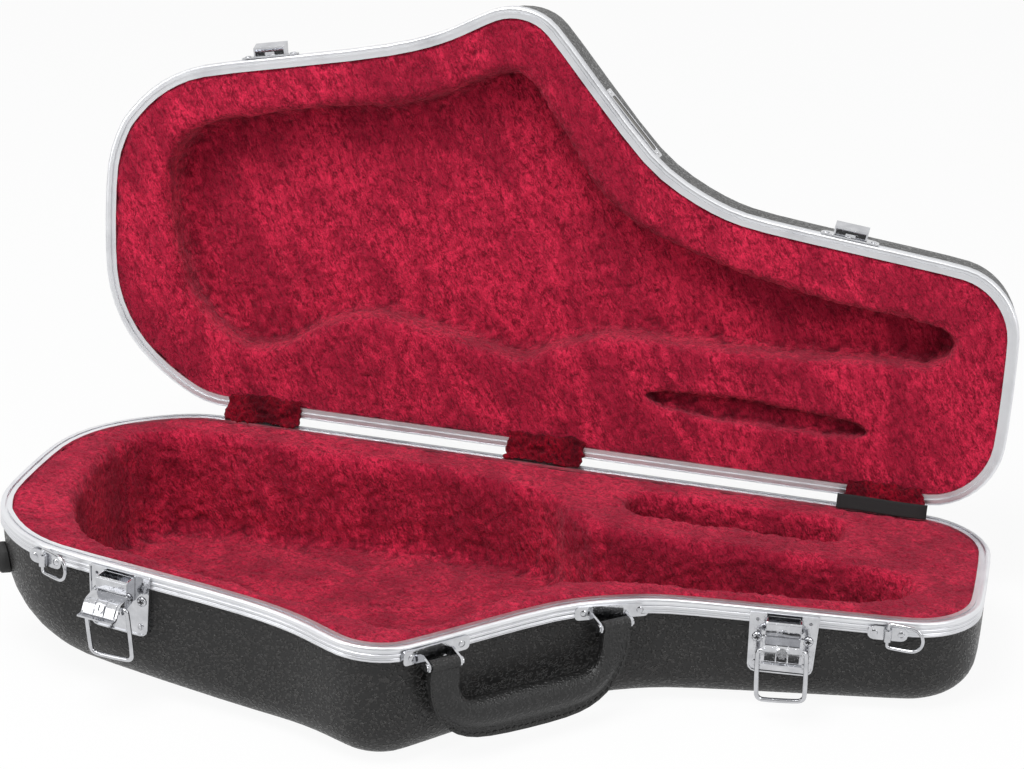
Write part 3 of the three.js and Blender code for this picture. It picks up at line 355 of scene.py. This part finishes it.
# %% Colours
def tone(red, green, blue):
    """A colour read off a screen, from 0 to 255, taken through the sRGB curve to the shader's scale."""
    return tuple((value / 255 / 12.92) if value < 11 else ((value / 255 + 0.055) / 1.055) ** 2.4
                 for value in (red, green, blue)) + (1.0,)


white_light = (1, 1, 1, 1)
print("middle grey on a screen is", round(tone(128, 128, 128)[0], 3), "in a shader")

# %% [markdown]
# ## Floor, sky and lamps
# White paper lies under the case, and to the camera it is plain white. In a mirror a dark strip crosses
# it a short way in front of the case, as a table's edge would. Chrome has no look of its own: it needs
# both something white and something dark to reflect, or it turns into grey paint. So rays from shiny
# surfaces see a white wall, a dark room and a bright ceiling, and all other rays see one even grey.

# %% White paper
paper_width = 40
paper_level = -0.6
paper_grey = 0.86
strip_begins = (0.5, 0.7)
strip_ends = (1.3, 1.6)
strip_darkness = 0.85

bpy.ops.object.select_all(action="DESELECT")
bpy.ops.mesh.primitive_plane_add(size=paper_width, location=(0, 0, paper_level * MM))
floor = bpy.context.active_object
floor.name = "floor"
paper = Finish("white paper", roughness=0.9)
seen = paper.ray("Camera")
glossy = paper.ray("Glossy")
through = paper.ray("Transmission")
plain = paper.node("ShaderNodeBsdfDiffuse", {}, {"Color": (paper_grey, paper_grey, paper_grey, 1)})
ahead = paper.along(1) * -1
strip = ahead.between(*strip_begins) * (1.0 - ahead.between(*strip_ends))
shade = 1.0 - glossy * strip * strip_darkness
white = paper.node("ShaderNodeEmission", {}, {"Color": white_light, "Strength": shade})
looked_at = (seen * 0.93 + glossy * 0.8 + through).least(1.0)
both = paper.node("ShaderNodeMixShader", {}, {0: looked_at, 1: plain, 2: white})
paper.tree.links.new(both.socket, paper.tree.nodes["Material Output"].inputs["Surface"])
floor.data.materials.append(paper.material)
print("paper", paper_width, "metres wide")


# %% Sky
class Sky(Finish):
    """The world's nodes, made in the same way as a finish's."""

    def __init__(self):
        world = bpy.data.worlds.new("studio")
        world.use_nodes = True
        bpy.context.scene.world = world
        self.tree = world.node_tree


front_begins = (-0.15, 0.3)
band_begins = (0.14, 0.24)
band_ends = (0.5, 0.62)
band_darkness = 0.93
even_grey = 0.36

sky = Sky()
facing = sky.node("ShaderNodeTexCoord", {}, {}, "Generated")
height = sky.along(2, facing)
in_front = (sky.along(1, facing) * -1).between(*front_begins)
dark_band = height.between(*band_begins) * (1.0 - height.between(*band_ends))
in_mirror = sky.ray("Glossy")
looking = sky.ray("Camera")
clear = sky.ray("Transmission")
mirrored = 1.0 - dark_band * in_front * band_darkness
even = even_grey + (looking + clear).least(1.0) * (1.0 - even_grey)
background = sky.tree.nodes["Background"]
background.inputs["Color"].default_value = white_light
strength = even * (1.0 - in_mirror) + mirrored * in_mirror
sky.tree.links.new(strength.socket, background.inputs["Strength"])
print("sky", len(sky.tree.nodes), "nodes")


# %% Lamps
def lamp(name, place, aim, size, watts):
    """A soft square lamp that faces a point."""
    data = bpy.data.lights.new(name, "AREA")
    data.shape = "SQUARE"
    data.size = size
    data.energy = watts
    made = bpy.data.objects.new(name, data)
    made.location = place
    made.rotation_euler = (Vector(aim) - Vector(place)).to_track_quat("-Z", "Y").to_euler()
    bpy.context.scene.collection.objects.link(made)
    return made


lamp("overhead_lamp", place=(-0.35, -0.75, 2.1), aim=(0, 0.05, 0.1), size=1.0, watts=35)
lamp("left_lamp", place=(-2.0, -1.6, 1.1), aim=(0, 0, 0.15), size=1.2, watts=12)
lamp("right_lamp", place=(2.0, -1.2, 1.3), aim=(0, 0, 0.15), size=1.2, watts=15)

# %% [markdown]
# ## The shell's grain
# The shell is moulded plastic pressed with a leather grain. Grain is small pebbles with creases between
# them, so it comes from a cell pattern: the distance to the nearest cell makes each pebble's dome. Its
# creases are painted darker, as painted shade, and duller than its tops, and wide soft clouds stand for
# handling.

# %% Grained shell
pebble_size = 2.3
wrinkle_size = 1.9
handled_size = 70
grain_depth = 1.0

shell = Finish("grained black shell", specular_ior_level=0.45)
pebble = shell.cells(pebble_size, where=shell.place(scale=(0.8, 1, 1.15), turn=(0, 0.5, 0)))
wrinkle = shell.cloud(wrinkle_size, detail=3.0, rough=0.6)
handled = shell.cloud(handled_size, detail=4.0).between(0.42, 0.75)
tops = (1.0 - pebble * 1.3 + (wrinkle - 0.5) * 1.1).between(0.3, 0.62)
# Painted shade: the creases between the pebbles get the darker colour and their tops the lighter one.
black_shell = shell.feeds(
    base_color=shell.mix((tops * 0.7 + handled * 0.4).least(1.0), tone(10, 9, 9), tone(43, 41, 40)),
    roughness=0.46 - tops * 0.22 + handled * 0.06,
    normal=shell.bump(tops, grain_depth))

# %% [markdown]
# ## The aluminium rims
# The rims are drawn through a die, which leaves fine lines that run all the way round, and the lower part
# of each is ribbed. The solid has the two deep grooves. The finer ribs are a wave across the rim,
# measured from the plane where the two halves meet. The lid leans back from the base by as much as its
# hinge can turn, so the lid's plane is the base's plane, turned back about the hinge.

# %% Where the halves meet
def joint(name):
    """What the frame says of one joint."""
    return next(made for made in frame["joints"] if made["name"] == name)


hinge = joint("lid_hinge")
hinge_line = Vector(hinge["axis"])
hinge_place = Vector(hinge["pos_m"])
leans_back = Matrix.Rotation(-math.radians(hinge["range_deg"][1]), 3, hinge_line)
base_across = hinge_line.cross(Vector((0, 1, 0)))
lid_across = -(leans_back @ base_across)
meeting = {half: (across, across.dot(hinge_place))
           for half, across in (("base", base_across), ("lid", lid_across))}
print("the halves meet at", {half: round(level, 4) for half, (across, level) in meeting.items()})


# %% Drawn aluminium
rib_pitch = 1.25
ribs_begin = (2.6, 3.4)
rib_depth = 0.14


def drawn_aluminium(name, across, level):
    """Aluminium whose ribs are square to across, with the meeting plane at level metres."""
    rim = Finish(name, metallic=1.0)
    where = rim.place()
    up = rim.node("ShaderNodeVectorMath", {"operation": "DOT_PRODUCT"}, {0: where, 1: across}, "Value")
    below = (level - up) * (1 / MM)
    ribs = (below * (math.tau / rib_pitch)).wave() * 0.5 + 0.5
    ribbed = below.between(*ribs_begin)
    grime = rim.cloud(30, detail=3.0).between(0.45, 0.8)
    streak = rim.cloud(6, detail=3.0)
    # The aluminium turns darker in clouds of grime and in the valleys between the ribs.
    grime_and_rib_valleys = grime * 0.5 + ribbed * (1.0 - ribs) * 0.5
    return rim.feeds(
        base_color=rim.mix(grime_and_rib_valleys, tone(232, 233, 236), tone(186, 187, 192)),
        roughness=0.28 + streak * 0.1,
        normal=rim.bump(ribs * ribbed, rib_depth))


rim_finishes = {half: drawn_aluminium(half + " rim aluminium", *meeting[half])
                for half in ("base", "lid")}

# %% [markdown]
# ## The plush
# Plush is a dense pile that lies over in patches where hands have brushed it. Pile that leans away from
# the light looks dark and pile that faces it looks bright, and the colour paints this in as painted shade
# and painted highlight: wide shaded patches, then streaks along the lie of the pile, then single tufts
# with shaded roots and lit tips. Sheen gives the pale edge that fur shows at a glance. Deep in a hollow
# the pile is painted darker, as painted shade, and an attribute of the mesh, openness, says where.

# %% Crimson plush
lean_size = 34
streak_size = 7
tuft_size = 2.8
hair_size = 0.9
tuft_depth = 3.0
hair_depth = 1.0


def plush(name, root, tip, patch_shade, patches=0.55, sheen=0.25):
    """A pile whose shaded roots, lit tips and shaded brushed patches have these colours, hanging down at a
    slant. These colours are painted shade and painted highlight.
    """
    pile = Finish(name, roughness=0.9, specular_ior_level=0.1, sheen_weight=sheen, sheen_roughness=0.5,
                  sheen_tint=(0.95, 0.3, 0.4, 1))
    slanted = pile.place(turn=(0.2, 0.45, 0.0))
    lie = pile.node("ShaderNodeMapping", {}, {"Vector": slanted, "Scale": (1.0, 1.0, 0.42)})
    lean = pile.cloud(lean_size, where=lie, detail=3.0, rough=0.55, warp=0.8)
    streaks = pile.cloud(streak_size, where=lie, detail=3.0, rough=0.6, warp=0.5)
    tufts = pile.cloud(tuft_size, where=lie, detail=3.0, rough=0.7, warp=0.5)
    hairs = pile.cloud(hair_size, where=lie, detail=2.0, rough=0.7)
    # Painted shade: patches where the pile leans away from the light get the darker patch colour.
    brushed = (lean * 0.7 + streaks * 0.45).between(0.48, 0.68) * patches
    # Painted shade at the roots of the tufts and painted highlight at their tips.
    depth = (tufts * 0.5 + hairs * 0.35 + streaks * 0.25).between(0.42, 0.66)
    open_share = pile.node("ShaderNodeAttribute", {"attribute_name": "openness"}, {}, "Fac")
    # Painted shade: where openness is low, deep in a hollow, the pile gets this darker colour.
    hollow_shade = tuple(part * 0.5 for part in patch_shade[:3]) + (1,)
    return pile.feeds(
        base_color=pile.mix(open_share, hollow_shade, pile.mix(brushed, pile.mix(depth, root, tip), patch_shade)),
        roughness=0.82 + hairs * 0.16,
        normal=pile.bump(hairs, hair_depth, below=pile.bump(tufts * 0.8 + streaks * 0.5, tuft_depth)))


crimson_plush = plush("crimson plush", root=tone(118, 8, 33), tip=tone(226, 45, 80),
                      patch_shade=tone(112, 5, 32), patches=0.62)
ragged_plush = plush("crimson hinge plush", root=tone(66, 0, 12), tip=tone(150, 10, 36),
                     patch_shade=tone(52, 0, 10), patches=0.75, sheen=0.08)

# %% [markdown]
# ## Chrome
# Chrome is a mirror with hardly any colour. Fingerprints and fine scuffs make its roughness uneven, and
# that is what keeps it from looking like a perfect ball bearing.

# %% Chrome
haze_size = 9
scuff_size = 1.2

bright = Finish("chromed steel", metallic=1.0)
haze = bright.cloud(haze_size, detail=4.0)
scuffs = bright.cloud(scuff_size, where=bright.place(scale=(1, 0.3, 1)), detail=3.0).between(0.55, 0.8)
chrome = bright.feeds(
    base_color=bright.mix(haze, tone(164, 165, 169), tone(220, 221, 224)),
    roughness=0.05 + haze * 0.08 + scuffs * 0.08,
    normal=bright.bump(scuffs * 0.3 + haze, 0.12))

# %% Painted slot shade
slot_mottle_size = 0.6

# Painted shade: a dark finish for the bars that stand in for the shadow inside each screw slot.
hollow = Finish("painted driver slot shade", metallic=0.6, roughness=0.5)
slot_mottle = hollow.cloud(slot_mottle_size, detail=3.0)
painted_slot_shade = hollow.feeds(base_color=hollow.mix(slot_mottle, tone(24, 24, 26), tone(58, 58, 60)))

# %% [markdown]
# ## Leather and thread
# The grip is leather stretched over padding. Its pebbles are smaller than the shell's, and it creases
# where it bends; the pores between the pebbles are painted darker, as painted shade. The thread is twisted,
# which shows as a slant along each stitch.

# %% Leather
pore_size = 1.9
fold_size = 6

hide = Finish("black grip leather", specular_ior_level=0.5)
pores = hide.cells(pore_size)
folds = hide.cloud(fold_size, detail=5.0, rough=0.65, warp=1.5)
hide_tops = (1.0 - pores * 1.4 + (folds - 0.5) * 0.9).between(0.15, 0.8)
# Painted shade: the pores between the pebbles get the darker colour and the pebble tops the lighter one.
grip_leather = hide.feeds(
    base_color=hide.mix(hide_tops, tone(10, 10, 10), tone(32, 31, 31)),
    roughness=0.42 - hide_tops * 0.14 + folds * 0.08,
    normal=hide.bump(hide_tops, 0.4))

# %% Thread
strand_pitch = 0.5

twist = Finish("waxed black thread", roughness=0.55)
slant = twist.along(0) + twist.along(1) + twist.along(2)
strands = (slant * (math.tau / (strand_pitch * MM))).wave() * 0.5 + 0.5
thread = twist.feeds(
    base_color=twist.mix(strands, tone(10, 10, 10), tone(64, 63, 62)),
    normal=twist.bump(strands, 0.08))

# %% [markdown]
# ## Rubber, tape and card
# The small fittings get finishes of their own: feet of dull rubber, a woven tape tag and a plain card. A
# weave is two waves multiplied, one for the threads that go across and one for the threads that go up.

# %% Rubber
speck_size = 0.8

grey = Finish("moulded rubber", roughness=0.7)
speck = grey.cloud(speck_size, detail=2.0)
foot_rubber = grey.feeds(
    base_color=grey.mix(speck, tone(20, 20, 20), tone(34, 34, 34)),
    roughness=0.6 + speck * 0.2,
    normal=grey.bump(speck, 0.05))

# %% Woven tape
weave_pitch = 0.9

tape = Finish("woven tape", roughness=0.85)
over = (tape.along(0) * (math.tau / (weave_pitch * MM))).wave()
under = (tape.along(2) * (math.tau / (weave_pitch * MM))).wave()
weave = (over * under) * 0.5 + 0.5
woven_tape = tape.feeds(
    base_color=tape.mix(weave, tone(12, 12, 13), tone(34, 33, 34)),
    normal=tape.bump(weave, 0.2))

# %% Card
fibre_size = 0.9

blank = Finish("blank card", roughness=0.6)
fibres = blank.cloud(fibre_size, detail=4.0)
blank_card = blank.feeds(
    base_color=blank.mix(fibres, tone(96, 94, 90), tone(118, 116, 112)),
    normal=blank.bump(fibres, 0.03))
print("finishes", len(bpy.data.materials))

# %% [markdown]
# ## Shells and rims
# The solids have the right shape in flat facets. A copy of each is subdivided once, with the edges that
# turn sharply kept sharp by a crease, so curved skins turn smooth and the rims keep their ribs.

# %% Shells and rims
for half in ("base", "lid"):
    skin = dressed(half + "_shell", black_shell, levels=1, angle=30)
    edge = dressed(half + "_rim", rim_finishes[half], levels=1, angle=24)
    print(half, len(skin.data.polygons), "faces in the shell,", len(edge.data.polygons), "in the rim")

# %% [markdown]
# ## Linings
# Each lining is plush glued over a moulded form, so the wells keep their shape and only their edges turn
# soft. The solid is remeshed into an even grid, smoothed until its lips are round, and then given low
# lumps and tufts by layers of noise. These are real relief, so the edges of the wells look furred from
# any side.

# %% Relief of the pile
lump_spacing = 22
tuft_spacing = 4.2
lock_spacing = 2.3
tuft_squeeze = 0.7
lock_share = 0.6


def furred(piece, lumps, tufts, seed):
    """Moves each point along its normal by three sizes of noise, lumps and tufts millimetres high."""
    mesh = piece.data
    moved = []
    for point in mesh.vertices:
        place = point.co
        squeezed = Vector((place.x * tuft_squeeze, place.y, place.z))
        wide = noise.noise(place / (lump_spacing * MM) + Vector((seed, 0, 0)))
        fine = noise.noise(squeezed / (tuft_spacing * MM) + Vector((0, seed, 0)))
        finer = noise.noise(place / (lock_spacing * MM) + Vector((0, 0, seed)))
        rise = wide * lumps + fine * tufts + finer * tufts * lock_share
        moved.append(place + point.normal * (rise * MM))
    mesh.vertices.foreach_set("co", np.array(moved, dtype=np.float32).ravel())
    mesh.update()


# %% Openness of the pile
shut_at = -2.0
open_at = 0.3
least_open = 0.12
fully_open = 0.62
softening_rounds = 14
softening_share = 0.7


def shaded(piece):
    """Writes down how open each point is: pile in a hollow gets less light, and the plush finish paints it a
    deeper red as painted shade.
    """
    mesh = piece.data
    count = len(mesh.vertices)
    places, normals = np.empty(count * 3), np.empty(count * 3)
    mesh.vertices.foreach_get("co", places)
    mesh.vertices.foreach_get("normal", normals)
    places, normals = places.reshape(-1, 3), normals.reshape(-1, 3)
    ends = np.empty(len(mesh.edges) * 2, dtype=np.int64)
    mesh.edges.foreach_get("vertices", ends)
    a, b = ends.reshape(-1, 2).T
    around = np.bincount(a, minlength=count) + np.bincount(b, minlength=count)
    soft = places.copy()
    for _ in range(softening_rounds):
        total = np.zeros_like(soft)
        for axis in range(3):
            total[:, axis] = np.bincount(a, soft[b, axis], count) + np.bincount(b, soft[a, axis], count)
        neighbours = total / np.maximum(around, 1)[:, None]
        soft = soft * (1 - softening_share) + neighbours * softening_share
    proud = np.einsum("ij,ij->i", places - soft, normals) / MM
    share = np.clip((proud - shut_at) / (open_at - shut_at), 0, 1)
    share = np.clip(least_open + share * (1 - least_open) / fully_open, 0, 1)
    layer = mesh.attributes.new("openness", "FLOAT", "POINT")
    layer.data.foreach_set("value", share.astype(np.float32))
    print(piece.name, "openness", round(float(share.min()), 2), round(float(share.mean()), 2))


# %% Room between the linings
def trimmed(piece, half, room=0.3):
    """Presses the pile down to room millimetres inside the plane where the two halves meet."""
    across, level = meeting[half]
    for point in piece.data.vertices:
        proud = point.co.dot(across) - (level - room * MM)
        if proud > 0:
            point.co -= across * proud
    piece.data.update()


# %% Linings
lining_grid = 2.5
lump_height = 1.2
tuft_height = 1.5

for half, seed in (("base", 3.0), ("lid", 11.0)):
    lining = merged(half + "_lining", half + "_plush")
    apply(lining, "REMESH", "even", mode="VOXEL", voxel_size=lining_grid * MM, adaptivity=0.0)
    apply(lining, "SMOOTH", "soft", factor=0.5, iterations=5)
    furred(lining, lump_height, tuft_height, seed)
    trimmed(lining, half)
    shaded(lining)
    only(lining)
    bpy.ops.object.shade_smooth()
    lining.data.materials.append(crimson_plush)
    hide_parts(half + "_lining")
    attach(lining, half)
    print(lining.name, len(lining.data.polygons), "faces")

# %% [markdown]
# ## Hinge covers
# Three soft strips of plush cover the hinges and bend when the lid shuts. Each is swollen a little by a
# cloth simulation with air pressure inside, which rounds it as stuffing would. The far end follows the
# lid and the near end the base. The tape tag beside the third strip bends in the same way.

# %% Swelling by simulation
swelling_pressure = 4.0
swelling_frames = 20


def swollen(piece, voxel, cap):
    """Lets a piece swell as cloth under pressure, but no point further than cap millimetres.
    """
    apply(piece, "REMESH", "even", mode="VOXEL", voxel_size=voxel * MM, adaptivity=0.0)
    before = [point.co.copy() for point in piece.data.vertices]
    only(piece)
    cloth = piece.modifiers.new("swell", "CLOTH")
    cloth.settings.use_pressure = True
    cloth.settings.uniform_pressure_force = swelling_pressure
    cloth.settings.quality = 5
    cloth.settings.effector_weights.gravity = 0
    cloth.point_cache.frame_start = 1
    cloth.point_cache.frame_end = swelling_frames
    for moment in range(1, swelling_frames + 1):
        bpy.context.scene.frame_set(moment)
    bpy.ops.object.modifier_apply(modifier=cloth.name)
    bpy.context.scene.frame_set(1)
    for point, old in zip(piece.data.vertices, before):
        shift = point.co - old
        if shift.length > cap * MM:
            point.co = old + shift.normalized() * (cap * MM)
    piece.data.update()
    return piece


# %% Hinge covers
cover_grid = 2.2
cover_swell = 2.4
cover_lumps = 2.0
cover_tufts = 2.2

for number in (1, 2, 3):
    node = "hinge_flap_%d" % number
    flap = merged(node, "hinge_cover_%d" % number)
    low, high = (Vector(corner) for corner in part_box(node))
    swollen(flap, cover_grid, cover_swell)
    apply(flap, "SMOOTH", "soft", factor=0.5, iterations=3)
    apply(flap, "SUBSURF", "finer", levels=1, render_levels=1)
    furred(flap, cover_lumps, cover_tufts, 20.0 + number)
    shaded(flap)
    only(flap)
    bpy.ops.object.shade_smooth()
    flap.data.materials.append(ragged_plush)
    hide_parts(node)
    middle = (low.x + high.x) / 2
    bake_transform(flap, "base", "lid", start=(middle, low.y + 2 * MM, low.z + 2 * MM),
             end=(middle, high.y - 2 * MM, high.z - 1 * MM))
    print(flap.name, len(flap.data.polygons), "faces")

# %% Tag
tag_swing = 7.0
tag_ripple = 0.5

tag = merged("tag", "tape_tag")
low, high = (Vector(corner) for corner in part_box("tag"))
open_mesh(tag)
bpy.ops.mesh.quads_convert_to_tris()
bpy.ops.mesh.subdivide(number_cuts=7)
bpy.ops.object.mode_set(mode="OBJECT")
for point in tag.data.vertices:
    share = (point.co.x - low.x) / (high.x - low.x)
    point.co.y += math.sin(share * tag_swing) * tag_ripple * MM
only(tag)
bpy.ops.object.shade_smooth_by_angle(angle=math.radians(40))
tag.data.materials.append(woven_tape)
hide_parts("tag")
middle = (low.x + high.x) / 2
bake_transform(tag, "base", "lid", start=(middle, low.y, low.z + 2 * MM), end=(middle, high.y, high.z - 1 * MM))
print(tag.name, len(tag.data.polygons), "faces")

# %% [markdown]
# ## Grip
# The grip is one padded U of leather, sewn together along its outer edge. The seam is a row of slanted
# stitches near that edge on both faces. One stitch is modelled and copied along the line of the edge,
# which repeats the points that the solid's edge runs through, in the grip's own frame. The grip swings
# about the line through its two pins, so its own frame starts from that joint.

# %% Grip
grip = dressed("handle", grip_leather, levels=1, angle=28, name="grip")

swing = joint("handle_swing")
upright = Vector((0, 0, 1))
grip_middle = Vector(swing["pos_m"])
grip_along = -Vector(swing["axis"])
grip_out = grip_along.cross(upright).normalized()
grip_up = grip_out.cross(grip_along).normalized()
pins = [sum((Vector(corner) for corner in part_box("handle_pin_" + side)), Vector()) / 2
        for side in ("left", "right")]
half_span = (pins[1] - pins[0]).length / 2
print(grip.name, len(grip.data.polygons), "faces, half span", round(half_span / MM, 2), "mm")

# %% Where the seam runs
strap_width = 20
strap_thickness = 5
flange_thickness = 3.6
grip_top = 29
grip_bottom = 59
bend_shares = [
    (-0.5, 0.153, 0.55, 0.17, 0), (-0.525, 0.288, 0.5, 0.373, 0.2), (-0.65, 0.407, 0.25, 0.61, 0.55),
    (-0.9, 0.475, -0.2, 0.805, 0.87), (-1.3, 0.497, -0.85, 0.932, 1), (-1.9, 0.492, -1.65, 0.988, 1)]


def seam_points(share):
    """The seam at a share of the way from the inner to the outer edge: along, up and half the thickness.

    Each bend has the inner edge's offset from the pin in strap widths and its drop in shares of the grip's
    height, the same two for the outer edge, and how far the strap has thinned out into the sewn flange.
    """
    line = []
    for inner_x, inner_drop, outer_x, outer_drop, thinned in bend_shares:
        along = half_span + (inner_x + (outer_x - inner_x) * share) * strap_width * MM
        drop = (inner_drop + (outer_drop - inner_drop) * share) * grip_bottom * MM
        thickness = strap_thickness + (flange_thickness - strap_thickness) * thinned
        line.append(Vector((along, -drop, thickness / 2 * MM)))
    middle_drop = (grip_top + (grip_bottom - grip_top) * share) * MM
    lowest = Vector((0, -middle_drop, flange_thickness / 2 * MM))
    return [Vector((-p.x, p.y, p.z)) for p in line] + [lowest] + line[::-1]


def spaced(line, step):
    """Places and directions every step metres along a line."""
    places, left = [], step / 2
    for a, b in zip(line, line[1:]):
        length = (b - a).length
        while left < length:
            places.append((a.lerp(b, left / length), (b - a).normalized()))
            left += step
        left -= length
    return places


# %% One stitch
stitch_radius = 0.6
stitch_length = 3.2
stitch_rounding = 0.25

bpy.ops.object.select_all(action="DESELECT")
bpy.ops.mesh.primitive_cylinder_add(vertices=8, radius=stitch_radius * MM, depth=stitch_length * MM,
                                    location=(0, 0, 0), rotation=(0, math.radians(90), 0))
stitch = settle(bpy.context.active_object)
open_mesh(stitch)
bpy.ops.mesh.bevel(offset=stitch_rounding * MM, segments=2, affect="EDGES")
bpy.ops.object.mode_set(mode="OBJECT")
print("one stitch has", len(stitch.data.polygons), "faces")

# %% Sewing
seam_share = 0.9
stitch_step = 4.8
stitch_slant = 0.18

grip_turn = Matrix((grip_along, grip_up, grip_out)).transposed()
seams = []
for face in (-1, 1):
    for place, along in spaced(seam_points(seam_share), stitch_step * MM):
        along = (along + upright.cross(along) * stitch_slant).normalized()
        local = Matrix((along, upright.cross(along), upright)).transposed()
        turn = (grip_turn @ local).to_4x4()
        centre = grip_middle + grip_along * place.x + grip_up * place.y + grip_out * (place.z * face)
        copy = stitch.copy()
        copy.data = stitch.data.copy()
        copy.data.transform(Matrix.Translation(centre) @ turn)
        bpy.context.scene.collection.objects.link(copy)
        seams.append(copy)
bpy.data.objects.remove(stitch)
stitches = len(seams)
sewn = joined(seams, "grip_stitches")
bpy.ops.object.shade_smooth()
sewn.data.materials.append(thread)
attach(sewn, "handle")
print("stitches", stitches)

# %% [markdown]
# ## Latches, rings and other fittings
# All of these are pressed or bent from steel and then chromed. The stamped plates and levers get a narrow
# bevel, because a real pressed edge is never quite sharp and its bright line is what the eye reads as
# metal. Wires, pins and screw heads are subdivided instead.

# %% Fittings
pressed = ("latch_plate", "latch_housing", "latch_lever", "strike", "strap_plate", "handle_bracket",
           "card_frame", "hinge_base", "hinge_lid")
turned = ("latch_", "strap_ring", "handle_pin", "hinge_pin")
pressed_bevel = 0.2

for node in sorted(frame["nodes"]):
    if node.startswith("foot"):
        dressed(node, foot_rubber, levels=1, angle=30)
    elif node == "card":
        dressed(node, blank_card, levels=0, angle=30)
    elif node.startswith(pressed):
        dressed(node, chrome, levels=0, angle=35, bevel=pressed_bevel)
    elif node.startswith(turned):
        dressed(node, chrome, levels=1, angle=35)
meshes = [piece for piece in bpy.data.objects if piece.type == "MESH"]
print("chromed pieces", sum(chrome.name in piece.data.materials for piece in meshes))

# %% [markdown]
# ## Driver slots, painted as shade
# The latch screws have cross slots, and each slot is painted shade: two dark bars, sunk into the head so
# that only their tops show, stand in for the shadow inside the slot. The lever's joint says how the latch
# lies, and a head's outermost point says how far out its top is.

# %% Driver slots painted as shade
slot_length = 3.4
slot_width = 0.75
slot_depth = 1.0
slot_sunk = 0.42
slot_turn = 0.5
slot_rounding = 0.12

for side in ("left", "right"):
    for letter in ("a", "b"):
        node = "latch_screw_%s_%s" % (side, letter)
        points = [Vector(vertex.co) for vertex in frame["nodes"][node].data.vertices]
        centre = sum(points, Vector()) / len(points)
        across = Vector(joint("lever_%s_swing" % side)["axis"])
        upward = (upright - across * across.z).normalized()
        outward = across.cross(upward)
        if outward.y > 0:
            outward = -outward
        top = max((point - centre).dot(outward) for point in points)
        bars = []
        for turn in (slot_turn, slot_turn + math.pi / 2):
            way = across * math.cos(turn) + upward * math.sin(turn)
            side_way = outward.cross(way)
            bpy.ops.object.select_all(action="DESELECT")
            bpy.ops.mesh.primitive_cube_add(size=1)
            bar = bpy.context.active_object
            sides = (way * slot_length * MM, side_way * slot_width * MM, outward * slot_depth * MM)
            placed = Matrix(sides).transposed().to_4x4()
            placed.translation = centre + outward * (top - slot_sunk * MM)
            bar.data.transform(placed)
            apply(bar, "BEVEL", "edges", width=slot_rounding * MM, segments=2)
            bars.append(bar)
        # Painted shade: the two dark bars stand in for the shadow in the screw's cross slot.
        cross = joined(bars, "driver_slot_%s_%s" % (side, letter))
        cross.data.materials.append(painted_slot_shade)
        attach(cross, "base")
        print(cross.name, len(cross.data.polygons), "faces")
